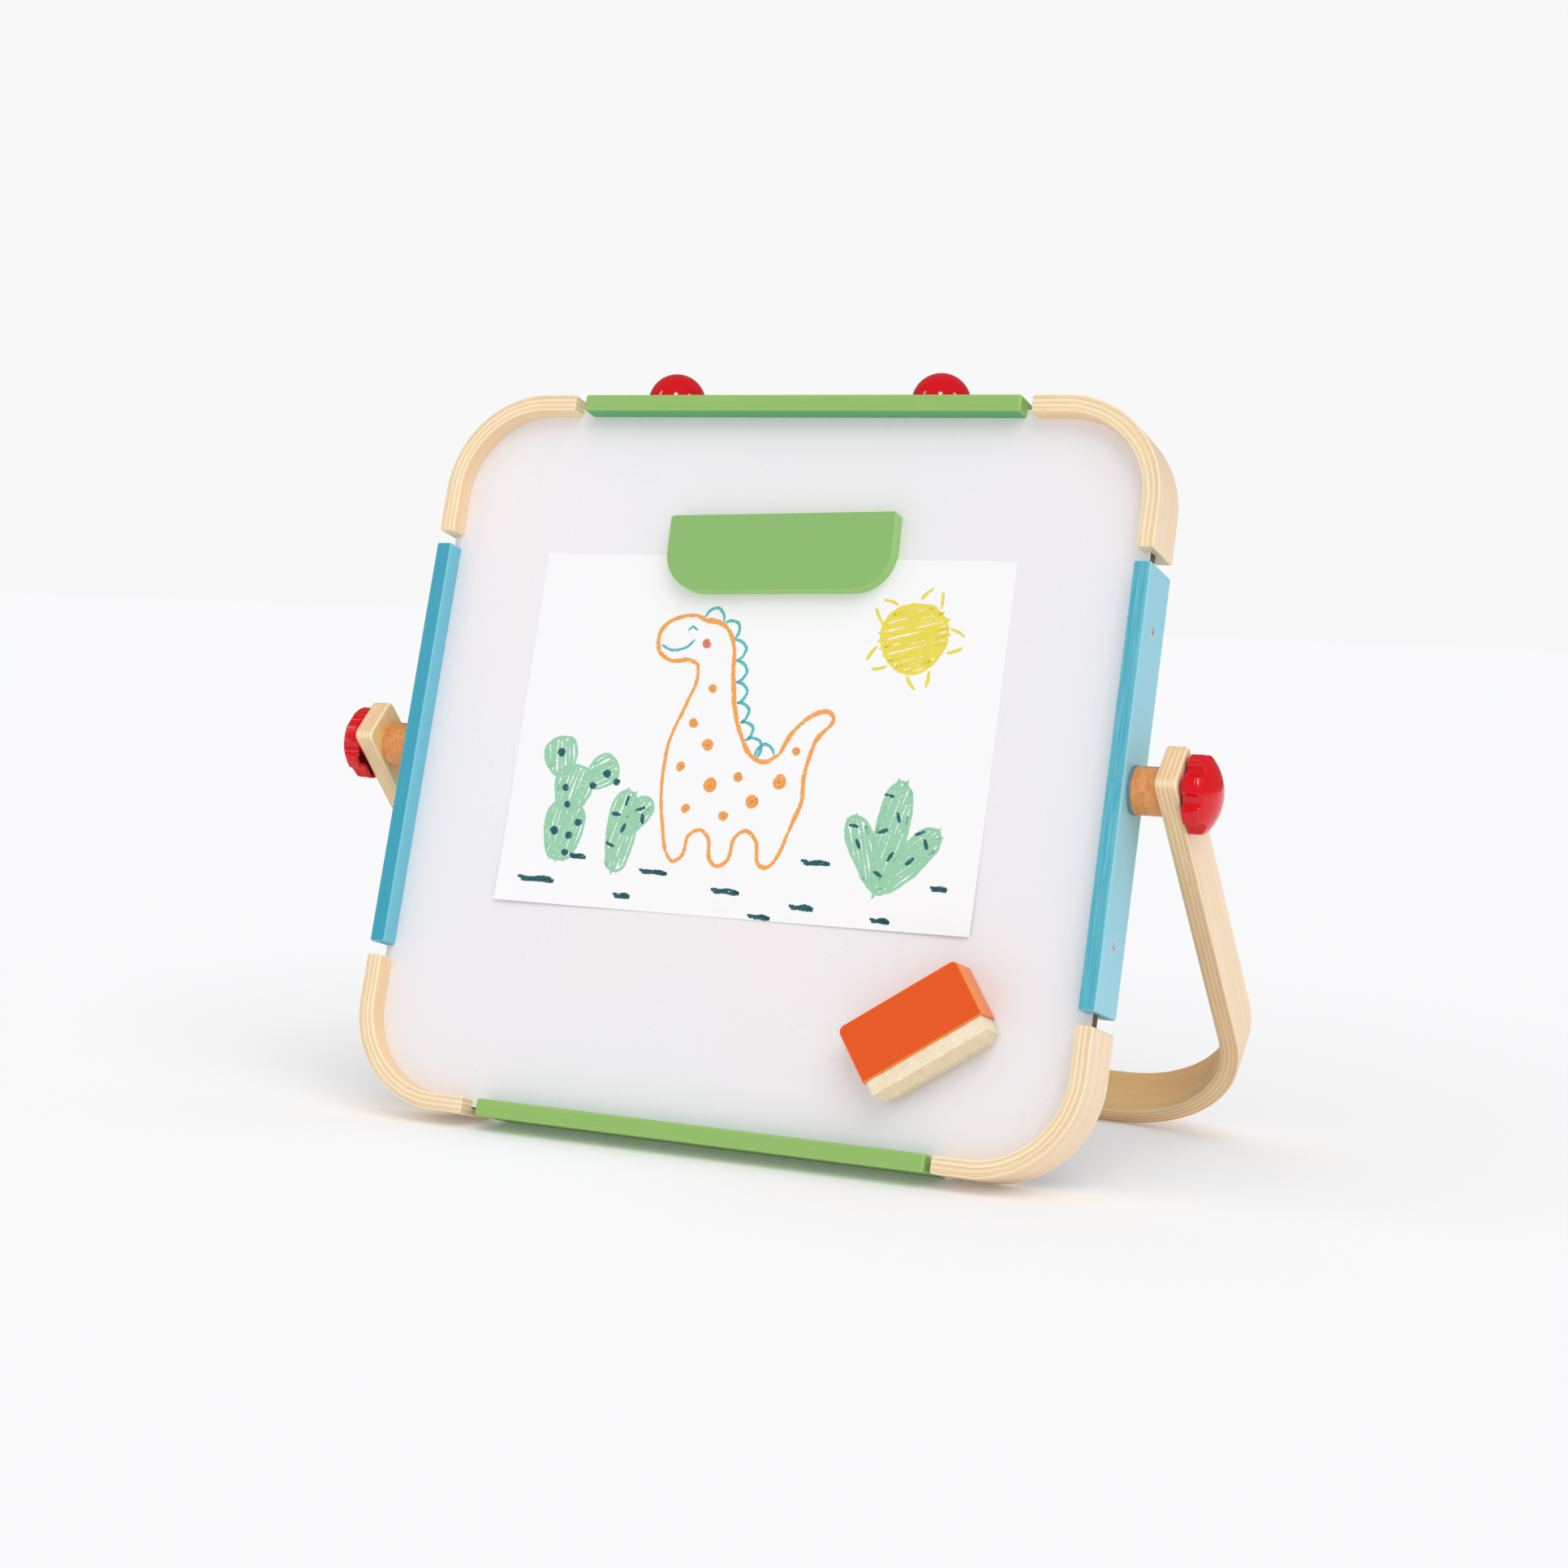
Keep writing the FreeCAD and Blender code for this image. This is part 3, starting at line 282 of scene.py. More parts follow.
def srgb(red, green, blue):
    """A colour as a paint chart gives it, 0 to 255, turned into the linear one that shaders use."""
    def linear(value):
        value /= 255
        return value / 12.92 if value <= 0.04045 else ((value + 0.055) / 1.055) ** 2.4
    return (linear(red), linear(green), linear(blue), 1.0)


# ---- materials --------------------------------------------------------------------------------

def bent_plywood(name, place, outline, layers, outer, inner, age):
    """Lacquered plywood: long grain on its faces, its layers on every cut edge, yellower with age; its inner faces are
    painted darker as shade and its arrises painted lighter as highlight.
    """
    half_width, half_height, corner, thickness = outline
    material, wires, shader = new_material(name, Specular_IOR_Level=0.4)
    point, normal = local(wires, place)
    strip = wires.group(STRIP_GROUP, point=point, normal=normal, half_width=half_width,
                        half_height=half_height, corner=corner)
    ply = wires.group(PLY_GROUP, strip=strip["Strip"], depth=strip["Depth"], thickness=thickness, layers=layers)
    grain = wires.group(GRAIN_GROUP, strip=strip["Strip"], scale=1.0)
    cut = strip["Cut"]
    pale = wires.mix(ply["Tint"], srgb(255, 242, 212), srgb(252, 230, 186))
    tan = wires.mix(grain["Fibres"], srgb(246, 216, 168), srgb(232, 190, 138))
    layered = wires.mix(wires.math("MULTIPLY", ply["Cross"], 0.55), pale, tan)
    layered = wires.mix(wires.math("MULTIPLY", ply["Lines"], 0.5), layered, srgb(232, 190, 138))
    layered = wires.mix(wires.math("MULTIPLY", ply["Glue"], 0.7), layered, srgb(190, 136, 88))
    layered = wires.mix(age, layered, srgb(248, 214, 176), "MULTIPLY")
    # Inner faces take the darker inner colours: painted shade.
    deep = wires.ramp(strip["Depth"], 0.35 * thickness, 0.65 * thickness)
    faced = wires.mix(deep, wires.mix(wires.math("MULTIPLY", grain["Streaks"], 0.6), outer[0], outer[1]),
                      wires.mix(wires.math("MULTIPLY", grain["Streaks"], 0.6), inner[0], inner[1]))
    colour = wires.mix(cut, faced, layered)
    colour = wires.mix(wires.math("MULTIPLY", grain["Fibres"], 0.16), colour, srgb(238, 200, 152), "MULTIPLY")
    colour = wires.mix(wires.math("MULTIPLY", grain["Pores"], 0.45), colour, srgb(168, 116, 66))
    # Arrises mixed towards pale wood: painted highlight.
    colour = wires.mix(wires.math("MULTIPLY", strip["Edge"], 0.5), colour, srgb(255, 240, 208))
    wires.plug(colour, shader["Base Color"])
    height = wires.math("SUBTRACT", wires.math("MULTIPLY", grain["Fibres"], 0.3),
                        wires.math("MULTIPLY", ply["Glue"], wires.math("MULTIPLY", cut, 0.8)))
    wires.plug(wires.bump(height, 0.12 * MM, 0.6), shader["Normal"])
    wires.plug(wires.ramp(grain["Streaks"], 0.0, 1.0, 0.38, 0.52), shader["Roughness"])
    return material


def painted_plywood(name, front, inside, outside, arris, show):
    """Sprayed plywood: its layers show through on the cut faces as much as show says; each face takes its own colour as
    painted light and shade, and its edges are lighter, partly worn thin and partly painted highlight.
    """
    material, wires, shader = new_material(name, Roughness=0.40, Specular_IOR_Level=0.35)
    point, normal = local(wires, board_place)
    strip = wires.group(STRIP_GROUP, point=point, normal=normal, half_width=FRAME_WIDTH / 2,
                        half_height=FRAME_HEIGHT / 2, corner=CORNER_RADIUS)
    ply = wires.group(PLY_GROUP, strip=strip["Strip"], depth=strip["Depth"], thickness=STRIP, layers=8.0)
    grain = wires.group(GRAIN_GROUP, strip=strip["Strip"], scale=1.0)
    cut = strip["Cut"]
    deep = wires.ramp(strip["Depth"], 0.3 * STRIP, 0.7 * STRIP)
    # Front, inner and outer faces each take their own colour, matched to how light falls on each: painted light and
    # shade.
    colour = wires.mix(cut, wires.mix(deep, outside, inside), front)
    lines = wires.math("MULTIPLY", ply["Glue"], cut)
    fibres = wires.math("MULTIPLY", wires.ramp(grain["Fibres"], 0.4, 0.65), cut)
    colour = wires.mix(wires.math("MULTIPLY", fibres, 0.4 * show), colour, arris)
    colour = wires.mix(wires.math("MULTIPLY", lines, show), colour, arris)
    # Edges mixed towards the pale arris colour: partly paint worn thin, partly painted highlight.
    colour = wires.mix(wires.math("MULTIPLY", strip["Edge"], 0.55), colour, arris)
    wires.plug(colour, shader["Base Color"])
    peel = wires.group(PEEL_GROUP, point=point, scale=900.0)
    height = wires.math("ADD", wires.math("MULTIPLY", peel["Height"], 0.25),
                        wires.math("MULTIPLY", wires.math("SUBTRACT", wires.math("MULTIPLY", fibres, 0.5), lines), show))
    wires.plug(wires.bump(height, 0.14 * MM, 0.5), shader["Normal"])
    return material


def whiteboard_enamel():
    material, wires, shader = new_material("whiteboard_enamel", Coat_Weight=0.25, Coat_Roughness=0.12)
    point, _ = local(wires, board_place)
    smudge = wires.group(SMUDGE_GROUP, point=point, scale=7.0)
    warm = wires.ramp(wires.noise(point, 4.5, 1.0), 0.5, 0.75)
    colour = wires.mix(wires.math("MULTIPLY", smudge["Mask"], 0.25), srgb(243, 241, 243), srgb(240, 239, 242))
    colour = wires.mix(wires.math("MULTIPLY", warm, 0.7), colour, srgb(247, 239, 240))
    wires.plug(colour, shader["Base Color"])
    wires.plug(wires.ramp(smudge["Mask"], 0.0, 1.0, 0.26, 0.31), shader["Roughness"])
    peel = wires.group(PEEL_GROUP, point=point, scale=420.0)
    wires.plug(wires.bump(peel["Height"], 0.02 * MM, 0.3), shader["Normal"])
    return material


def chalkboard_paint():
    """Matt black with the grey bloom and the wiped strokes that chalk leaves."""
    material, wires, shader = new_material("chalkboard_paint", Roughness=0.9)
    point, _ = local(wires, board_place)
    cloud = wires.group(SMUDGE_GROUP, point=point, scale=7.0)
    wiped = wires.noise(wires.stretch(point, (9, 60, 9)), 1.0, 5.0, 0.6, 1.2)
    dust = wires.math("MULTIPLY", wires.ramp(wiped, 0.45, 0.75), wires.ramp(cloud["Mask"], 0.0, 1.0, 0.25, 1.0))
    wires.plug(wires.mix(wires.math("MULTIPLY", dust, 0.35), srgb(44, 46, 47), srgb(126, 130, 130)),
               shader["Base Color"])
    wires.plug(wires.ramp(dust, 0.0, 1.0, 0.72, 0.95), shader["Roughness"])
    grit = wires.noise(point, 2600.0, 2.0)
    wires.plug(wires.bump(grit, 0.06 * MM, 0.5), shader["Normal"])
    return material


def hardboard():
    material, wires, shader = new_material("hardboard", Roughness=0.8)
    point, _ = local(wires, board_place)
    fibre = wires.noise(wires.stretch(point, (300, 300, 1600)), 1.0, 4.0, 0.65)
    wires.plug(wires.mix(wires.ramp(fibre, 0.3, 0.7), srgb(84, 56, 40), srgb(142, 104, 76)), shader["Base Color"])
    wires.plug(wires.bump(fibre, 0.2 * MM, 0.7), shader["Normal"])
    return material


def metal(name, colour, roughness, scratch, shine):
    """Plated or turned metal with fine marks from turning."""
    material, wires, shader = new_material(name, Metallic=shine)
    point, _ = local(wires)
    lines = wires.noise(wires.stretch(point, (scratch, scratch, scratch * 4)), 1.0, 3.0)
    wires.plug(wires.mix(wires.math("MULTIPLY", lines, 0.5), colour, srgb(150, 148, 142)), shader["Base Color"])
    wires.plug(wires.ramp(lines, 0.2, 0.8, roughness - 0.07, roughness + 0.12), shader["Roughness"])
    wires.plug(wires.bump(lines, 0.02 * MM, 0.5), shader["Normal"])
    return material


def glossy_red(name, colour, deep, roughness, coat, peel_scale):
    """Gloss paint or moulded plastic, with a faint ripple and finger marks in the gloss."""
    material, wires, shader = new_material(name, Coat_Weight=coat, Coat_Roughness=0.06, Specular_IOR_Level=0.25)
    point, _ = local(wires)
    smudge = wires.group(SMUDGE_GROUP, point=point, scale=60.0)
    wires.plug(wires.mix(wires.math("MULTIPLY", smudge["Mask"], 0.4), colour, deep), shader["Base Color"])
    wires.plug(wires.ramp(smudge["Mask"], 0.0, 1.0, roughness, roughness + 0.08), shader["Roughness"])
    peel = wires.group(PEEL_GROUP, point=point, scale=peel_scale)
    wires.plug(wires.bump(peel["Height"], 0.05 * MM, 0.25), shader["Normal"])
    return material


def grey_rubber():
    material, wires, shader = new_material("grey_rubber", Roughness=0.65)
    point, _ = local(wires)
    speck = wires.noise(point, 1800.0, 3.0)
    wires.plug(wires.mix(speck, srgb(98, 120, 138), srgb(126, 146, 160)), shader["Base Color"])
    wires.plug(wires.bump(speck, 0.05 * MM, 0.5), shader["Normal"])
    return material


def turned_beech():
    """Beech turned across its grain, with darker streaks, flecks and growth rings."""
    material, wires, shader = new_material("turned_beech", Roughness=0.4)
    point, _ = local(wires, stand_place)
    across, up, out = wires.split(point)
    turned = wires.join(up, across, out)
    grain = wires.group(GRAIN_GROUP, strip=turned, scale=2.4)
    colour = wires.mix(grain["Streaks"], srgb(238, 168, 98), srgb(222, 138, 70))
    colour = wires.mix(wires.math("MULTIPLY", grain["Fibres"], 0.4), colour, srgb(204, 130, 70))
    colour = wires.mix(wires.math("MULTIPLY", grain["Pores"], 0.85), colour, srgb(122, 66, 32))
    wires.plug(colour, shader["Base Color"])
    wires.plug(wires.bump(grain["Fibres"], 0.08 * MM, 0.5), shader["Normal"])
    return material


def drawing_paper():
    material, wires, shader = new_material("drawing_paper", Roughness=0.85)
    point, _ = local(wires, sheet_place)
    fibre = wires.noise(point, 900.0, 4.0, 0.65)
    wires.plug(wires.mix(fibre, srgb(250, 249, 249), srgb(247, 246, 247)), shader["Base Color"])
    wires.plug(wires.bump(fibre, 0.03 * MM, 0.4), shader["Normal"])
    return material


def crayon(name, colour, deep):
    """Wax crayon: it skips over the paper's tooth and breaks up along its edges."""
    material, wires, shader = new_material("crayon_" + name, Roughness=0.7)
    point, _ = local(wires, sheet_place)
    side = wires.split(wires.node("ShaderNodeUVMap").outputs[0])[1]
    tooth = wires.noise(point, 1100.0, 3.0, 0.7)
    drag = wires.noise(wires.stretch(point, (260, 700, 1)), 1.0, 3.0, 0.6)
    wax = wires.math("ADD", wires.math("MULTIPLY", tooth, 0.55), wires.math("MULTIPLY", drag, 0.45))
    edge = wires.math("POWER", wires.math("ABSOLUTE", wires.math("SUBTRACT", wires.math("MULTIPLY", side, 2.0), 1.0)), 4.0)
    bare = wires.math("ADD", 0.36, wires.math("MULTIPLY", edge, 0.16))
    cover = wires.ramp(wires.math("SUBTRACT", wax, bare), 0.0, 0.05)
    wires.plug(wires.mix(tooth, colour, deep), shader["Base Color"])
    wires.plug(cover, shader["Alpha"])
    wires.plug(wires.bump(wax, 0.08 * MM, 0.5), shader["Normal"])
    return material


def clip_plastic():
    material, wires, shader = new_material("clip_plastic", Roughness=0.4)
    point, normal = local(wires, board_place)
    # Side faces are mixed towards a lighter green: painted highlight on the clip's edges.
    side = wires.math("SUBTRACT", 1.0, wires.ramp(wires.split(normal)[2], 0.5, 0.95))
    speck = wires.noise(point, 700.0, 3.0)
    colour = wires.mix(speck, srgb(144, 192, 108), srgb(134, 186, 104))
    wires.plug(wires.mix(side, colour, srgb(152, 204, 112)), shader["Base Color"])
    wires.plug(wires.bump(speck, 0.03 * MM, 0.4), shader["Normal"])
    return material


def eraser_foam():
    """Orange moulded block whose sides are painted lighter and whose sloped edges are painted yellower, as painted
    highlight.
    """
    material, wires, shader = new_material("eraser_foam", Roughness=0.45, Specular_IOR_Level=0.25)
    point, normal = local(wires, eraser_place)
    across, up, out = wires.split(normal)
    # Sides painted lighter and sloped edges painted yellow-orange: painted highlight.
    front = wires.ramp(out, 0.80, 0.97)
    lit_slope = wires.math("MULTIPLY", wires.math("GREATER_THAN", out, 0.25), wires.math("SUBTRACT", 1.0, front))
    speck = wires.noise(point, 900.0, 3.0)
    colour = wires.mix(speck, srgb(236, 90, 20), srgb(230, 82, 16))
    colour = wires.mix(wires.math("SUBTRACT", 1.0, front), colour, srgb(244, 138, 76))
    colour = wires.mix(wires.math("MULTIPLY", lit_slope, 0.8), colour, srgb(246, 148, 20))
    wires.plug(colour, shader["Base Color"])
    wires.plug(wires.bump(speck, 0.04 * MM, 0.4), shader["Normal"])
    return material


def wool_felt():
    material, wires, shader = new_material("wool_felt", Roughness=0.95, Sheen_Weight=0.4, Sheen_Roughness=0.5)
    point, normal = local(wires, eraser_place)
    wool = wires.noise(point, 520.0, 5.0, 0.7, 1.5)
    clumps = wires.noise(point, 130.0, 3.0)
    fibre = wires.math("ADD", wires.math("MULTIPLY", wool, 0.7), wires.math("MULTIPLY", clumps, 0.3))
    colour = wires.mix(wires.ramp(fibre, 0.35, 0.65), srgb(238, 218, 180), srgb(252, 240, 216))
    # Downward faces, the chamfer, get a darker wool colour: painted shade.
    shaded_below = wires.ramp(wires.math("MULTIPLY", wires.split(normal)[1], -1.0), 0.35, 0.65)
    colour = wires.mix(wires.math("MULTIPLY", shaded_below, 0.5), colour, srgb(226, 202, 160))
    wires.plug(colour, shader["Base Color"])
    wires.plug(wires.bump(wool, 0.3 * MM, 0.6), shader["Normal"])
    return material


def ferrite():
    material, wires, shader = new_material("ferrite", Roughness=0.6)
    point, _ = local(wires)
    speck = wires.noise(point, 1500.0, 3.0)
    wires.plug(wires.mix(speck, srgb(52, 52, 54), srgb(74, 74, 76)), shader["Base Color"])
    return material


FRAME_OUTLINE = (FRAME_WIDTH / 2, FRAME_HEIGHT / 2, CORNER_RADIUS, STRIP)
BOW_OUTLINE = (255 * MM, BOW_REACH, BOW_RADIUS, BOW_STRIP)
paint = {
    # Each wood takes darker inner colours than outer ones, most of all the stand's bow: painted shade on the inner
    # faces.
    "bent_frame": bent_plywood("bent_plywood_frame", board_place, FRAME_OUTLINE, 7.0,
                               (srgb(254, 234, 204), srgb(246, 216, 178)),
                               (srgb(255, 228, 188), srgb(250, 212, 164)), 0.0),
    "bent_stand": bent_plywood("bent_plywood_stand", stand_place, BOW_OUTLINE, 9.0,
                               (srgb(253, 230, 198), srgb(246, 214, 172)),
                               (srgb(255, 214, 152), srgb(246, 190, 122)), 0.38),
    # The bars' colours per face, and the separate left and right blues, copy how light falls on them: painted light and
    # shade.
    "green": painted_plywood("green_paint", srgb(144, 190, 102), srgb(88, 170, 104), srgb(140, 190, 98),
                             srgb(182, 212, 120), 0.30),
    "blue_left": painted_plywood("blue_paint_left_with_painted_light", srgb(44, 160, 184), srgb(116, 198, 220), srgb(140, 208, 228),
                                 srgb(150, 214, 228), 0.12),
    "blue_right": painted_plywood("blue_paint_right_with_painted_light", srgb(66, 170, 192), srgb(112, 196, 218), srgb(152, 214, 230),
                                  srgb(164, 222, 232), 0.60),
    "white": whiteboard_enamel(),
    "black": chalkboard_paint(),
    "hardboard": hardboard(),
    "zinc": metal("zinc_plate", srgb(222, 222, 220), 0.32, 900.0, 0.35),
    "brass": metal("brass", srgb(214, 178, 104), 0.3, 900.0, 0.8),
    "red_paint": glossy_red("red_gloss_paint", srgb(216, 8, 22), srgb(204, 5, 18), 0.14, 0.45, 500.0),
    "red_plastic": glossy_red("red_plastic", srgb(222, 8, 22), srgb(212, 6, 18), 0.20, 0.30, 900.0),
    "rubber": grey_rubber(),
    "beech": turned_beech(),
    "paper": drawing_paper(),
    "clip": clip_plastic(),
    "orange": eraser_foam(),
    "felt": wool_felt(),
    "ferrite": ferrite(),
}

NODE_PAINT = {
    "corner_": "bent_frame", "stand_bow": "bent_stand", "bar_top": "green", "bar_bottom": "green",
    "bar_left": "blue_left", "bar_right": "blue_right", "board_core": "hardboard", "whiteboard_skin": "white",
    "chalkboard_skin": "black", "bar_screws": "zinc", "ball_screws": "zinc", "knob_bolt": "zinc",
    "threaded_insert": "brass", "ball_knob": "red_paint", "star_knob": "red_plastic",
    "rubber_washer": "rubber", "spacer": "beech", "paper_sheet": "paper", "clip_plate": "clip",
    "clip_magnets": "ferrite", "eraser_magnets": "ferrite", "eraser_body": "orange", "eraser_felt": "felt",
}


def finish_cad_nodes():
    """Give every CAD node its finish, by the start of its name."""
    for name, node in nodes.items():
        key = max((start for start in NODE_PAINT if name.startswith(start)), key=len)
        node.data.materials.clear()
        node.data.materials.append(paint[NODE_PAINT[key]])


finish_cad_nodes()


# ---- tools for the meshes ---------------------------------------------------------------------

def mesh_piece(name, points, faces, material, place=None, smooth=True):
    mesh = bpy.data.meshes.new(name)
    mesh.from_pydata([tuple(point) for point in points], [], faces)
    if place is not None:
        mesh.transform(place)
    mesh.validate()
    mesh.update()
    mesh.materials.append(material)
    for face in mesh.polygons:
        face.use_smooth = smooth
    piece = bpy.data.objects.new(name, mesh)
    bpy.context.scene.collection.objects.link(piece)
    return piece


def lathe_grid(rings, closed=True):
    """Faces that join rings of equal count; a ring of one point closes an end."""
    faces = []
    starts = []
    total = 0
    for ring in rings:
        starts.append(total)
        total += len(ring)
    for low, high, a, b in zip(rings, rings[1:], starts, starts[1:]):
        count = max(len(low), len(high))
        for step in range(count if closed else count - 1):
            following = (step + 1) % count
            if len(low) == 1:
                faces.append((a, b + following, b + step))
            elif len(high) == 1:
                faces.append((a + step, a + following, b))
            else:
                faces.append((a + step, a + following, b + following, b + step))
    return [point for ring in rings for point in ring], faces


def soft_min(first, second, blend):
    """The smaller of two lengths, rounded over where they cross."""
    share = max(0.0, min(1.0, 0.5 + 0.5 * (second - first) / blend))
    return second * (1 - share) + first * share - blend * share * (1 - share)


# ---- star knobs -------------------------------------------------------------------------------

SCALLOPS = 7
KNOB_TILT = {1: 49.7, -1: 31.1}


def star_radius(angle, radius, scallop, circle, blend):
    """How far the seven-lobed outline is from its middle at an angle."""
    step = 2 * math.pi / SCALLOPS
    away = (angle + step / 2) % step - step / 2
    reach = circle * math.sin(away)
    if abs(reach) >= scallop:
        return radius
    hollow = circle * math.cos(away) - math.sqrt(scallop ** 2 - reach ** 2)
    return soft_min(radius, hollow, blend)


def star_knob(side):
    """A hollow star knob: domed outside, thin wall, and a boss that holds the bolt's head."""
    radius, height, dome, wall, boss = 21.5 * MM, 17.6 * MM, 30.5 * MM, 2.2 * MM, 8 * MM
    scallop, circle, rim_lift, soft = 5.5 * MM, 23 * MM, 1.3 * MM, 0.8 * MM
    count = SCALLOPS * 48
    angles = [2 * math.pi * step / count for step in range(count)]

    def outline(z, shrink, blend):
        level = dome - shrink
        drop = z - (height - dome)
        ball = math.sqrt(max(level ** 2 - drop ** 2, 0.0))
        ring = []
        for angle in angles:
            reach = star_radius(angle, radius - shrink, scallop + shrink, circle, 0.9 * MM)
            reach = soft_min(reach, ball, blend) if ball > 2 * MM else ball
            ring.append(Vector((reach * math.cos(angle), reach * math.sin(angle), z)))
        return ring

    def circle_ring(reach, z):
        return [Vector((reach * math.cos(angle), reach * math.sin(angle), z)) for angle in angles]

    rings = [[Vector((0, 0, height))]]
    levels = 46
    edge_slope = math.asin(0.98 * radius / dome)
    for step in range(1, levels):
        z = height - dome + dome * math.cos(edge_slope * step / levels)
        rings.append(outline(z, 0.0, soft))
    for z in (8.6, 8.2, 7.8, 7.4, 7.0, 6.0, 4.0, 2.5):
        rings.append(outline(z * MM, 0.0, soft))
    for turn in (0.0, 30.0, 60.0, 90.0):
        inset = 0.5 * MM * (1 - math.cos(math.radians(turn)))
        ring = outline(rim_lift, 0.0, soft)
        for point in ring:
            point.xy *= (point.xy.length - inset) / point.xy.length
            point.z = rim_lift + 0.5 * MM * (1 - math.sin(math.radians(turn)))
        rings.append(ring)
    for z in (1.3, 3.0, 6.0, 9.0, 11.0, 12.5):
        rings.append(outline(z * MM, wall, soft))
    rings.append(circle_ring(boss + 0.6 * MM, 13.6 * MM))
    rings.append(circle_ring(boss, 12.8 * MM))
    bore, seat = 3.1 * MM, 6.6 * MM
    for reach, z in ((boss, 0.4), (boss - 0.4 * MM, 0.0), (bore + 0.3 * MM, 0.0), (bore, 0.3), (bore, 2.4),
                     (seat, 2.4), (seat, 5.7)):
        rings.append(circle_ring(reach, z * MM))
    rings.append([Vector((0, 0, 5.7 * MM))])
    points, faces = lathe_grid(rings)
    name = "right" if side > 0 else "left"
    place = board_place @ Matrix.Translation((side * 255.3 * MM, 0, -FRAME_DEPTH / 2))
    place = place @ Matrix.Rotation(math.pi / 2 * side, 4, "Y") @ Matrix.Rotation(math.radians(KNOB_TILT[side]), 4, "Z")
    knob = mesh_piece(f"star_knob_{name}_moulding", points, faces, paint["red_plastic"], place)
    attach(knob, f"{name}_knob")
    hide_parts(f"star_knob_{name}")


for side in (-1, 1):
    star_knob(side)


# ---- the sheet of paper and its drawing -------------------------------------------------------

SHEET_WIDTH, SHEET_HEIGHT = 297 * MM, 210 * MM
SHEET_THICKNESS = 0.25 * MM


def sheet_lift(x, y):
    """How far the paper curls off the board: nothing under the clip, a little at the lower corners."""
    down = max(0.0, -y / (SHEET_HEIGHT / 2))
    side = abs(x) / (SHEET_WIDTH / 2)
    return 1.6 * MM * down ** 3 * side ** 2 + 0.25 * MM * down * (1 + math.sin(x * 30)) / 2


def paper_sheet():
    across, up = 60, 42
    points, faces = [], []
    for side in (0, 1):
        for row in range(up + 1):
            for column in range(across + 1):
                x = (column / across - 0.5) * SHEET_WIDTH
                y = (row / up - 0.5) * SHEET_HEIGHT
                points.append((x, y, sheet_lift(x, y) + side * SHEET_THICKNESS))
    layer = (across + 1) * (up + 1)
    for row in range(up):
        for column in range(across):
            a = row * (across + 1) + column
            b, c, d = a + 1, a + across + 2, a + across + 1
            faces.append((a, d, c, b))
            faces.append((a + layer, b + layer, c + layer, d + layer))
    rim = [(row * (across + 1), (row + 1) * (across + 1)) for row in range(up)]
    rim += [((row + 1) * (across + 1) + across, row * (across + 1) + across) for row in range(up)]
    rim += [(column + 1, column) for column in range(across)]
    top = up * (across + 1)
    rim += [(top + column, top + column + 1) for column in range(across)]
    for a, b in rim:
        faces.append((a, a + layer, b + layer, b))
    sheet = mesh_piece("paper_sheet_curled", points, faces, paint["paper"], sheet_place, smooth=False)
    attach(sheet, "sheet")
    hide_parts("paper_sheet")


paper_sheet()


def smooth_line(points, closed=False, step=1.2):
    """A curve through a few points, as a list of points a step apart; lengths are in millimetres."""
    line = [Vector(point) for point in points]
    if closed:
        line = [line[-1]] + line + line[:2]
    else:
        line = [line[0] * 2 - line[1]] + line + [line[-1] * 2 - line[-2]]
    path = []
    for a, b, c, d in zip(line, line[1:], line[2:], line[3:]):
        count = max(2, int((c - b).length / step))
        for part in range(count):
            t = part / count
            path.append(0.5 * (2 * b + (c - a) * t + (2 * a - 5 * b + 4 * c - d) * t * t
                               + (3 * b - a - 3 * c + d) * t ** 3))
    if not closed:
        path.append(line[-2])
    else:
        path.append(path[0])
    return path


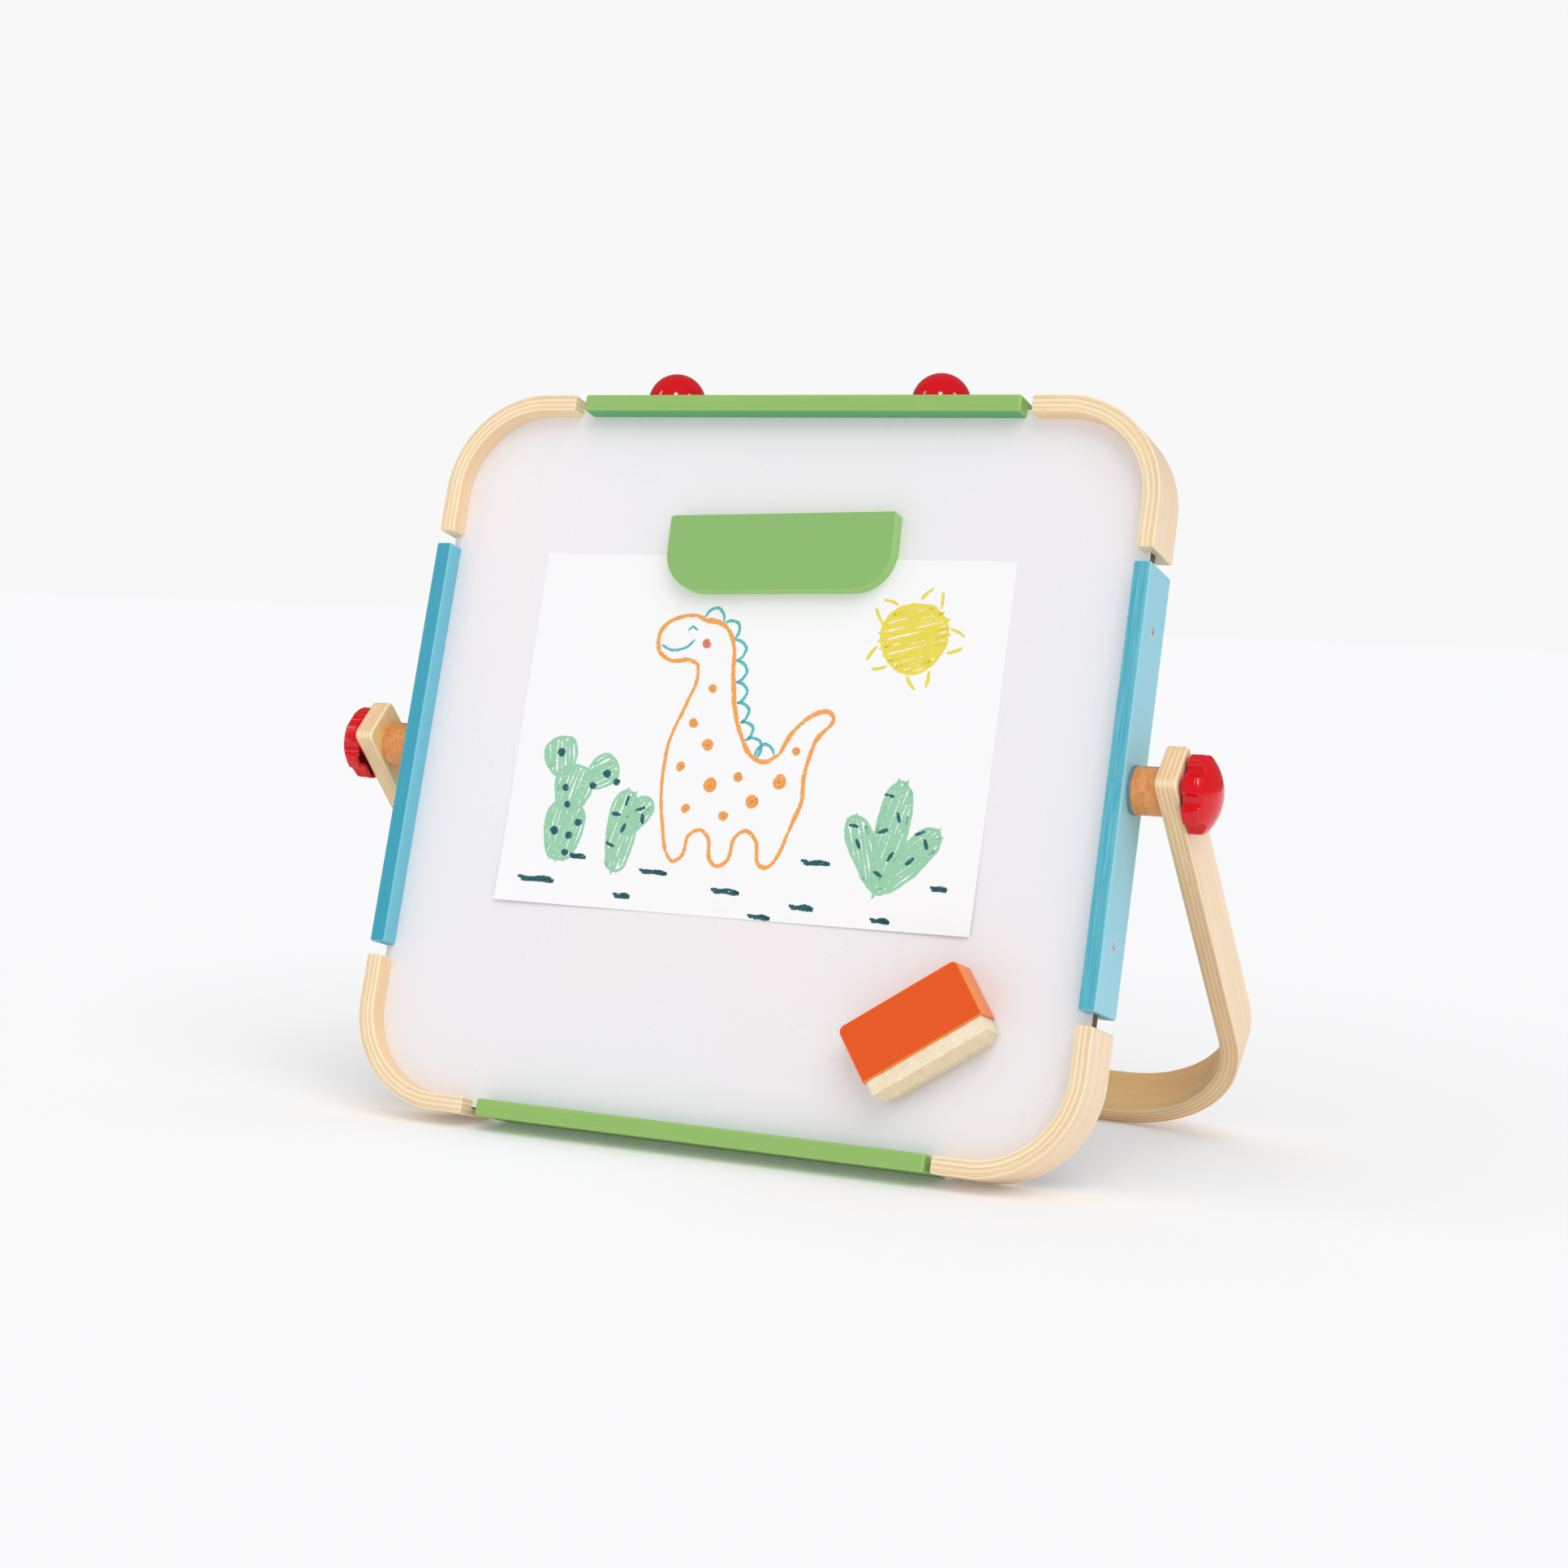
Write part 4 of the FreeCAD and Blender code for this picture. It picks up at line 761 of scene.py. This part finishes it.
class Crayon:
    """One crayon's marks, gathered into a single mesh that lies on the paper."""

    def __init__(self, name, colour, deep, lift):
        self.name = name
        self.material = crayon(name, colour, deep)
        self.lift = lift
        self.points, self.faces, self.sides = [], [], []
        self.dice = random.Random(name)

    def add_point(self, flat, side):
        x, y = flat.x * MM, flat.y * MM
        out = sheet_lift(x, y) + SHEET_THICKNESS + self.lift + len(self.points) * 2e-9
        self.points.append((x, y, out))
        self.sides.append(side)

    def stroke(self, points, width=1.5, closed=False):
        """A band along a curve whose width and line wander as a hand does."""
        path = smooth_line(points, closed)
        seed = self.dice.random() * 90
        start = len(self.points)
        count = len(path)
        for step, point in enumerate(path):
            ahead = path[min(step + 1, count - 1)] - path[max(step - 1, 0)]
            across = Vector((-ahead.y, ahead.x)).normalized() if ahead.length else Vector((0, 1))
            wander = noise.noise((step * 0.09, seed, 0)) * 0.5
            thick = width / 2 * (1 + 0.35 * noise.noise((step * 0.21, seed, 7)))
            if not closed:
                thick *= min(1.0, 0.55 + 0.25 * min(step, count - 1 - step))
            middle = point + across * wander
            for side, reach in ((0.0, -1), (0.5, 0), (1.0, 1)):
                ragged = 0.12 * noise.noise((step * 1.3, seed, reach * 5))
                self.add_point(middle + across * (reach * thick + ragged), side)
        for step in range(count - 1):
            a = start + 3 * step
            self.faces.append((a, a + 3, a + 4, a + 1))
            self.faces.append((a + 1, a + 4, a + 5, a + 2))

    def dot(self, x, y, radius, squash=1.0, turn=0.0):
        """A scribbled spot: a tight spiral of strokes."""
        turns = max(1.4, radius / 1.0)
        path = []
        for step in range(int(turns * 9) + 1):
            angle = step / 9 * 2 * math.pi + turn
            reach = radius * 0.92 * step / (turns * 9)
            path.append((x + reach * math.cos(angle), y + squash * reach * math.sin(angle)))
        self.stroke(path, 1.5)

    def scribble(self, outline, angle, spacing, width):
        """Fill a closed outline with long to-and-fro strokes at an angle, in degrees."""
        turn = Matrix.Rotation(-math.radians(angle), 2)
        shape = [turn @ point for point in smooth_line(outline, True)]
        low = min(point.y for point in shape)
        high = max(point.y for point in shape)
        path = []
        level = low + spacing
        forward = True
        while level < high - spacing / 2:
            cuts = []
            for a, b in zip(shape, shape[1:]):
                if (a.y - level) * (b.y - level) < 0:
                    cuts.append(a.x + (b.x - a.x) * (level - a.y) / (b.y - a.y))
            if len(cuts) >= 2 and max(cuts) - min(cuts) > 7.0:
                ends = [Vector((min(cuts) + 2.2, level)), Vector((max(cuts) - 2.2, level + spacing * 0.4))]
                if not forward:
                    ends.reverse()
                path.extend(turn.inverted() @ end for end in ends)
                forward = not forward
            level += spacing * (0.85 + 0.3 * self.dice.random())
        if len(path) > 1:
            self.stroke(path, width)

    def finish(self):
        piece = mesh_piece("drawing_" + self.name, self.points, self.faces, self.material, None, smooth=False)
        layer = piece.data.uv_layers.new(name="UVMap")
        for loop in piece.data.loops:
            layer.data[loop.index].uv = (self.points[loop.vertex_index][0] * 40, self.sides[loop.vertex_index])
        piece.data.transform(sheet_place)
        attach(piece, "sheet")


def draw_animal(orange, teal, pink):
    """A long-necked animal of no particular kind, with a frill of scallops down its back."""
    head = [(-34, 65), (-45, 69), (-58, 67), (-66, 59), (-65, 48), (-56, 42), (-46, 43), (-39, 41)]
    throat = [(-39, 41), (-38, 31), (-42, 17), (-48, 1), (-51, -16), (-50, -36), (-46, -56), (-42, -70)]
    feet = [(-42, -70), (-37, -75), (-31, -71), (-29, -60), (-22, -56), (-16, -61), (-14, -72), (-8, -76),
            (-2, -71), (0, -60), (7, -55), (14, -61), (16, -72), (22, -75), (28, -69), (33, -54)]
    rump = [(33, -54), (38, -37), (38, -20), (42, -1), (51, 10), (47, 16), (37, 13), (27, 3), (21, -10)]
    back = [(21, -10), (12, -15), (2, -11), (-6, 2), (-12, 18), (-15, 34), (-17, 50), (-22, 61), (-30, 66), (-40, 67)]
    for line, width in ((head, 2.6), (throat, 2.3), (feet, 2.5), (rump, 2.8), (back, 2.9)):
        orange.stroke(line, width)
    spots = [(-27, 26, 2.6), (-36, 6, 3.0), (-25, -7, 3.6), (-40, -20, 2.8), (-20, -30, 4.4), (-3, -24, 3.0),
             (8, -38, 4.2), (23, -26, 4.4), (-33, -44, 2.8), (-9, -47, 3.2), (31, -8, 2.6)]
    for x, y, radius in spots:
        orange.dot(x, y, radius)
    spine = smooth_line(back)
    posts = [spine[3]]
    for point in spine:
        if (point - posts[-1]).length > 11.5:
            posts.append(point)
    for low, high in zip(posts, posts[1:]):
        along = (high - low).normalized()
        out = Vector((along.y, -along.x))
        middle = (low + high) / 2
        teal.stroke([low + out * 1.6, low + along * 1.6 + out * 5.6, middle + out * 8.4,
                     high - along * 1.6 + out * 5.6, high + out * 1.6], 2.0)
    teal.stroke([(-64, 51), (-56, 48), (-48, 50), (-43, 55)], 1.8)
    teal.stroke([(-48, 60), (-45.5, 62.5), (-42, 60.5)], 1.8)
    pink.dot(-35.0, 53.0, 3.0)


def draw_sun(yellow):
    middle = (93, 60)
    rim = []
    for step in range(14):
        angle = step / 14 * 2 * math.pi
        reach = 19.5 + 0.8 * math.sin(3 * angle)
        rim.append((middle[0] + reach * math.cos(angle), middle[1] + reach * math.sin(angle)))
    yellow.stroke(rim, 2.4, closed=True)
    yellow.scribble(rim, 14.0, 2.1, 2.5)
    for step in range(10):
        angle = math.radians(step * 36 + 14)
        bend = 0.22 if step % 2 else -0.2
        ray = []
        for reach, swing in ((22, 0.0), (26, bend * 0.5), (30, bend)):
            ray.append((middle[0] + reach * math.cos(angle + swing), middle[1] + reach * math.sin(angle + swing)))
        yellow.stroke(ray, 2.1)


def lobe(x, y, length, width, lean):
    """A rounded leaf-like outline that stands on (x, y) and leans by an angle in degrees."""
    turn = Matrix.Rotation(math.radians(lean), 2)
    shape = [(-0.24, 0.02), (-0.44, 0.32), (-0.50, 0.62), (-0.40, 0.88), (0.0, 1.0),
             (0.40, 0.88), (0.50, 0.62), (0.44, 0.32), (0.24, 0.02)]
    return [Vector((x, y)) + turn @ Vector((a * width, b * length)) for a, b in shape]


def draw_plants(green, dark):
    """Two prickly plants at the left and one at the right, filled in with to-and-fro strokes."""
    lobes = [
        (-110, -78, 34, 25, 0), (-109, -48, 25, 24, -6), (-98, -32, 20, 18, -52), (-116, -28, 22, 20, 16),
        (-73, -82, 46, 18, -2), (-70, -60, 24, 13, -34),
        (92, -84, 62, 18, -5), (91, -82, 44, 15, 28), (94, -82, 44, 16, -40),
    ]
    for x, y, length, width, lean in lobes:
        outline = lobe(x, y, length, width, lean)
        green.stroke(outline, 2.2, closed=True)
        green.scribble(outline, 78 + lean, 2.5, 2.4)
    marks = [(-116, -62, 2.6), (-106, -64, 2.2), (-101, -56, 2.2), (-107, -74, 2.2), (-113, -36, 2.0),
             (-95, -34, 2.2), (-87, -27, 2.6), (-80, -31, 2.2), (-119, -16, 2.6), (-110, -46, 2.0)]
    for x, y, radius in marks:
        dark.dot(x, y, radius)
    ticks = [(-78, -68, 160), (-71, -58, 70), (-77, -50, 170), (-71, -42, 80), (-60, -52, 100), (-62, -46, 20),
             (90, -74, 150), (96, -64, 60), (90, -50, 20), (98, -42, 110), (91, -30, 170), (76, -58, 120),
             (72, -48, 170), (108, -66, 40), (116, -56, 110), (112, -50, 20)]
    for x, y, lean in ticks:
        reach = Vector((3.0, 0)) @ Matrix.Rotation(-math.radians(lean), 2)
        dark.stroke([(x - reach.x, y - reach.y), (x, y), (x + reach.x, y + reach.y)], 2.5)


def draw_ground(dark):
    """Short thick dashes for the ground."""
    dashes = [(-123, -91, 24), (-98, -76, 11), (-66, -97, 11), (-48, -82, 18), (-1, -90, 18), (22, -103, 14),
              (52, -70, 18), (47, -96, 15), (95, -100, 12), (127, -80, 10)]
    for x, y, length in dashes:
        half = length / 2
        dark.stroke([(x - half, y + 0.8), (x - half / 3, y - 0.2), (x + half / 3, y + 0.6), (x + half, y - 0.4)], 2.7)
        dark.stroke([(x + half, y - 1.0), (x, y - 0.4), (x - half * 0.8, y - 0.8)], 2.5)


def drawing():
    green = Crayon("green", srgb(160, 216, 180), srgb(140, 202, 162), 0.03 * MM)
    yellow = Crayon("yellow", srgb(240, 224, 78), srgb(232, 212, 58), 0.03 * MM)
    orange = Crayon("orange", srgb(250, 172, 84), srgb(242, 156, 62), 0.05 * MM)
    teal = Crayon("teal", srgb(96, 196, 196), srgb(66, 180, 184), 0.07 * MM)
    pink = Crayon("pink", srgb(232, 140, 118), srgb(222, 120, 100), 0.05 * MM)
    dark = Crayon("dark", srgb(26, 106, 114), srgb(14, 86, 96), 0.09 * MM)
    draw_animal(orange, teal, pink)
    draw_sun(yellow)
    draw_plants(green, dark)
    draw_ground(dark)
    for crayon_marks in (green, yellow, orange, teal, pink, dark):
        crayon_marks.finish()


drawing()


# ---- the eraser's felt ------------------------------------------------------------------------

def felt_pad():
    """A pressed pad with chamfered lower edges, a woolly face and loose fibres."""
    length, height, depth, chamfer = 73 * MM, 13.5 * MM, 17 * MM, 5 * MM
    shape = bmesh.new()
    bmesh.ops.create_cube(shape, size=1.0)
    for vertex in shape.verts:
        vertex.co = (vertex.co.x * length, (vertex.co.y - 0.5) * height, vertex.co.z * depth)
    lower = [edge for edge in shape.edges if all(vertex.co.y < -height * 0.9 for vertex in edge.verts)]
    bmesh.ops.bevel(shape, geom=lower, offset=chamfer, segments=1, affect="EDGES")
    for edge in shape.edges:
        edge.smooth = False
    bmesh.ops.triangulate(shape, faces=list(shape.faces))
    for _ in range(6):
        long = [edge for edge in shape.edges if edge.calc_length() > 1.5 * MM]
        if long:
            bmesh.ops.subdivide_edges(shape, edges=long, cuts=1, use_grid_fill=False)
            bmesh.ops.triangulate(shape, faces=[face for face in shape.faces if len(face.verts) > 3])
    shape.normal_update()
    for vertex in shape.verts:
        rough = noise.noise(vertex.co * 800) * 0.14 + noise.noise(vertex.co * 300) * 0.10
        vertex.co += vertex.normal * (rough - 0.15) * MM
    dice = random.Random(5)
    faces = list(shape.faces)
    corners = []
    for _ in range(2600):
        face = dice.choice(faces)
        root = face.calc_center_median()
        lie = Vector((dice.gauss(0, 1), dice.gauss(0, 1), dice.gauss(0, 1)))
        lie = (lie - face.normal * lie.dot(face.normal)).normalized()
        reach = dice.uniform(0.6, 1.5) * MM
        wide = lie.cross(face.normal) * 0.035 * MM
        bend = lie.cross(face.normal) * dice.uniform(-0.5, 0.5) * MM
        rise = face.normal * dice.uniform(0.05, 0.28) * MM
        middle = root + lie * reach * 0.5 + rise + bend * 0.4
        tip = root + lie * reach + rise * 0.4 + bend
        corners.append((root - wide, root + wide, middle + wide, middle - wide, tip))
    for a, b, c, d, e in corners:
        verts = [shape.verts.new(point) for point in (a, b, c, d, e)]
        shape.faces.new(verts[:4])
        shape.faces.new((verts[3], verts[2], verts[4]))
    mesh = bpy.data.meshes.new("eraser_felt_wool")
    shape.to_mesh(mesh)
    shape.free()
    mesh.transform(eraser_place @ Matrix.Translation((0, -16.75 * MM, 10 * MM)))
    mesh.materials.append(paint["felt"])
    for face in mesh.polygons:
        face.use_smooth = True
    felt = bpy.data.objects.new("eraser_felt_wool", mesh)
    bpy.context.scene.collection.objects.link(felt)
    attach(felt, "eraser")
    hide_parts("eraser_felt")


felt_pad()


# ---- floor, light and camera ------------------------------------------------------------------

def pale_floor():
    size = 30.0
    points = [(-size, -size, 0), (size, -size, 0), (size, size, 0), (-size, size, 0)]
    material, wires, shader = new_material("pale_floor", Roughness=0.9, Specular_IOR_Level=0.0,
                                           Emission_Color=(0.10, 0.10, 0.10, 1), Emission_Strength=1.0)
    point, _ = local(wires)
    cloud = wires.noise(point, 0.6, 1.0)
    wires.plug(wires.mix(cloud, (0.855, 0.856, 0.860, 1), (0.852, 0.853, 0.857, 1)), shader["Base Color"])
    mesh_piece("pale_floor", points, [(0, 1, 2, 3)], material, smooth=False)


def aim(lamp, target):
    lamp.rotation_euler = (Vector(target) - lamp.location).to_track_quat("-Z", "Y").to_euler()


def sun(name, origin, energy, softness, colour=(1, 1, 1)):
    data = bpy.data.lights.new(name, "SUN")
    data.energy, data.angle, data.color = energy, math.radians(softness), colour
    lamp = bpy.data.objects.new(name, data)
    lamp.location = origin
    lamp.visible_glossy = False
    bpy.context.scene.collection.objects.link(lamp)
    aim(lamp, (0, 0, 0))


def softbox(name, origin, target, width, height, energy):
    """A soft panel that only glossy surfaces see, so that it leaves no pool of light on the floor."""
    data = bpy.data.lights.new(name, "AREA")
    data.shape, data.size, data.size_y, data.energy = "RECTANGLE", width, height, energy
    lamp = bpy.data.objects.new(name, data)
    lamp.location = origin
    bpy.context.scene.collection.objects.link(lamp)
    aim(lamp, target)
    lamp.visible_diffuse = False
    lamp.visible_camera = False


def studio():
    world = bpy.data.worlds.new("studio")
    bpy.context.scene.world = world
    world.use_nodes = True
    wires = Wiring(world.node_tree)
    background = world.node_tree.nodes["Background"]
    path = wires.node("ShaderNodeLightPath").outputs
    light = wires.mix(path["Is Glossy Ray"], (0.785, 0.785, 0.795, 1), (0.16, 0.16, 0.16, 1))
    wires.plug(wires.mix(path["Is Camera Ray"], light, (0.938, 0.938, 0.938, 1)), background.inputs["Color"])
    sun("key_light", (1.5, -1.6, 2.8), 0.85, 45.0)
    softbox("right_panel", (2.4, -0.4, 1.4), (0.2, 0, 0.3), 0.35, 1.0, 16.0)
    softbox("front_panel", (0.9, -2.6, 2.2), (0, 0, 0.3), 0.6, 0.6, 30.0)
    softbox("left_panel", (-2.2, -1.6, 1.6), (0, 0, 0.3), 0.4, 1.2, 12.0)


def camera():
    data = bpy.data.cameras.new("camera")
    data.lens = 63.481
    data.sensor_width = 36.0
    data.clip_end = 200.0
    view = bpy.data.objects.new("camera", data)
    view.location = (0.6821, -1.4708, 0.3090)
    view.rotation_euler = tuple(math.radians(angle) for angle in (86.134, -1.896, 25.349))
    bpy.context.scene.collection.objects.link(view)
    bpy.context.scene.camera = view


pale_floor()
studio()
camera()
bpy.context.scene.view_settings.view_transform = "Standard"
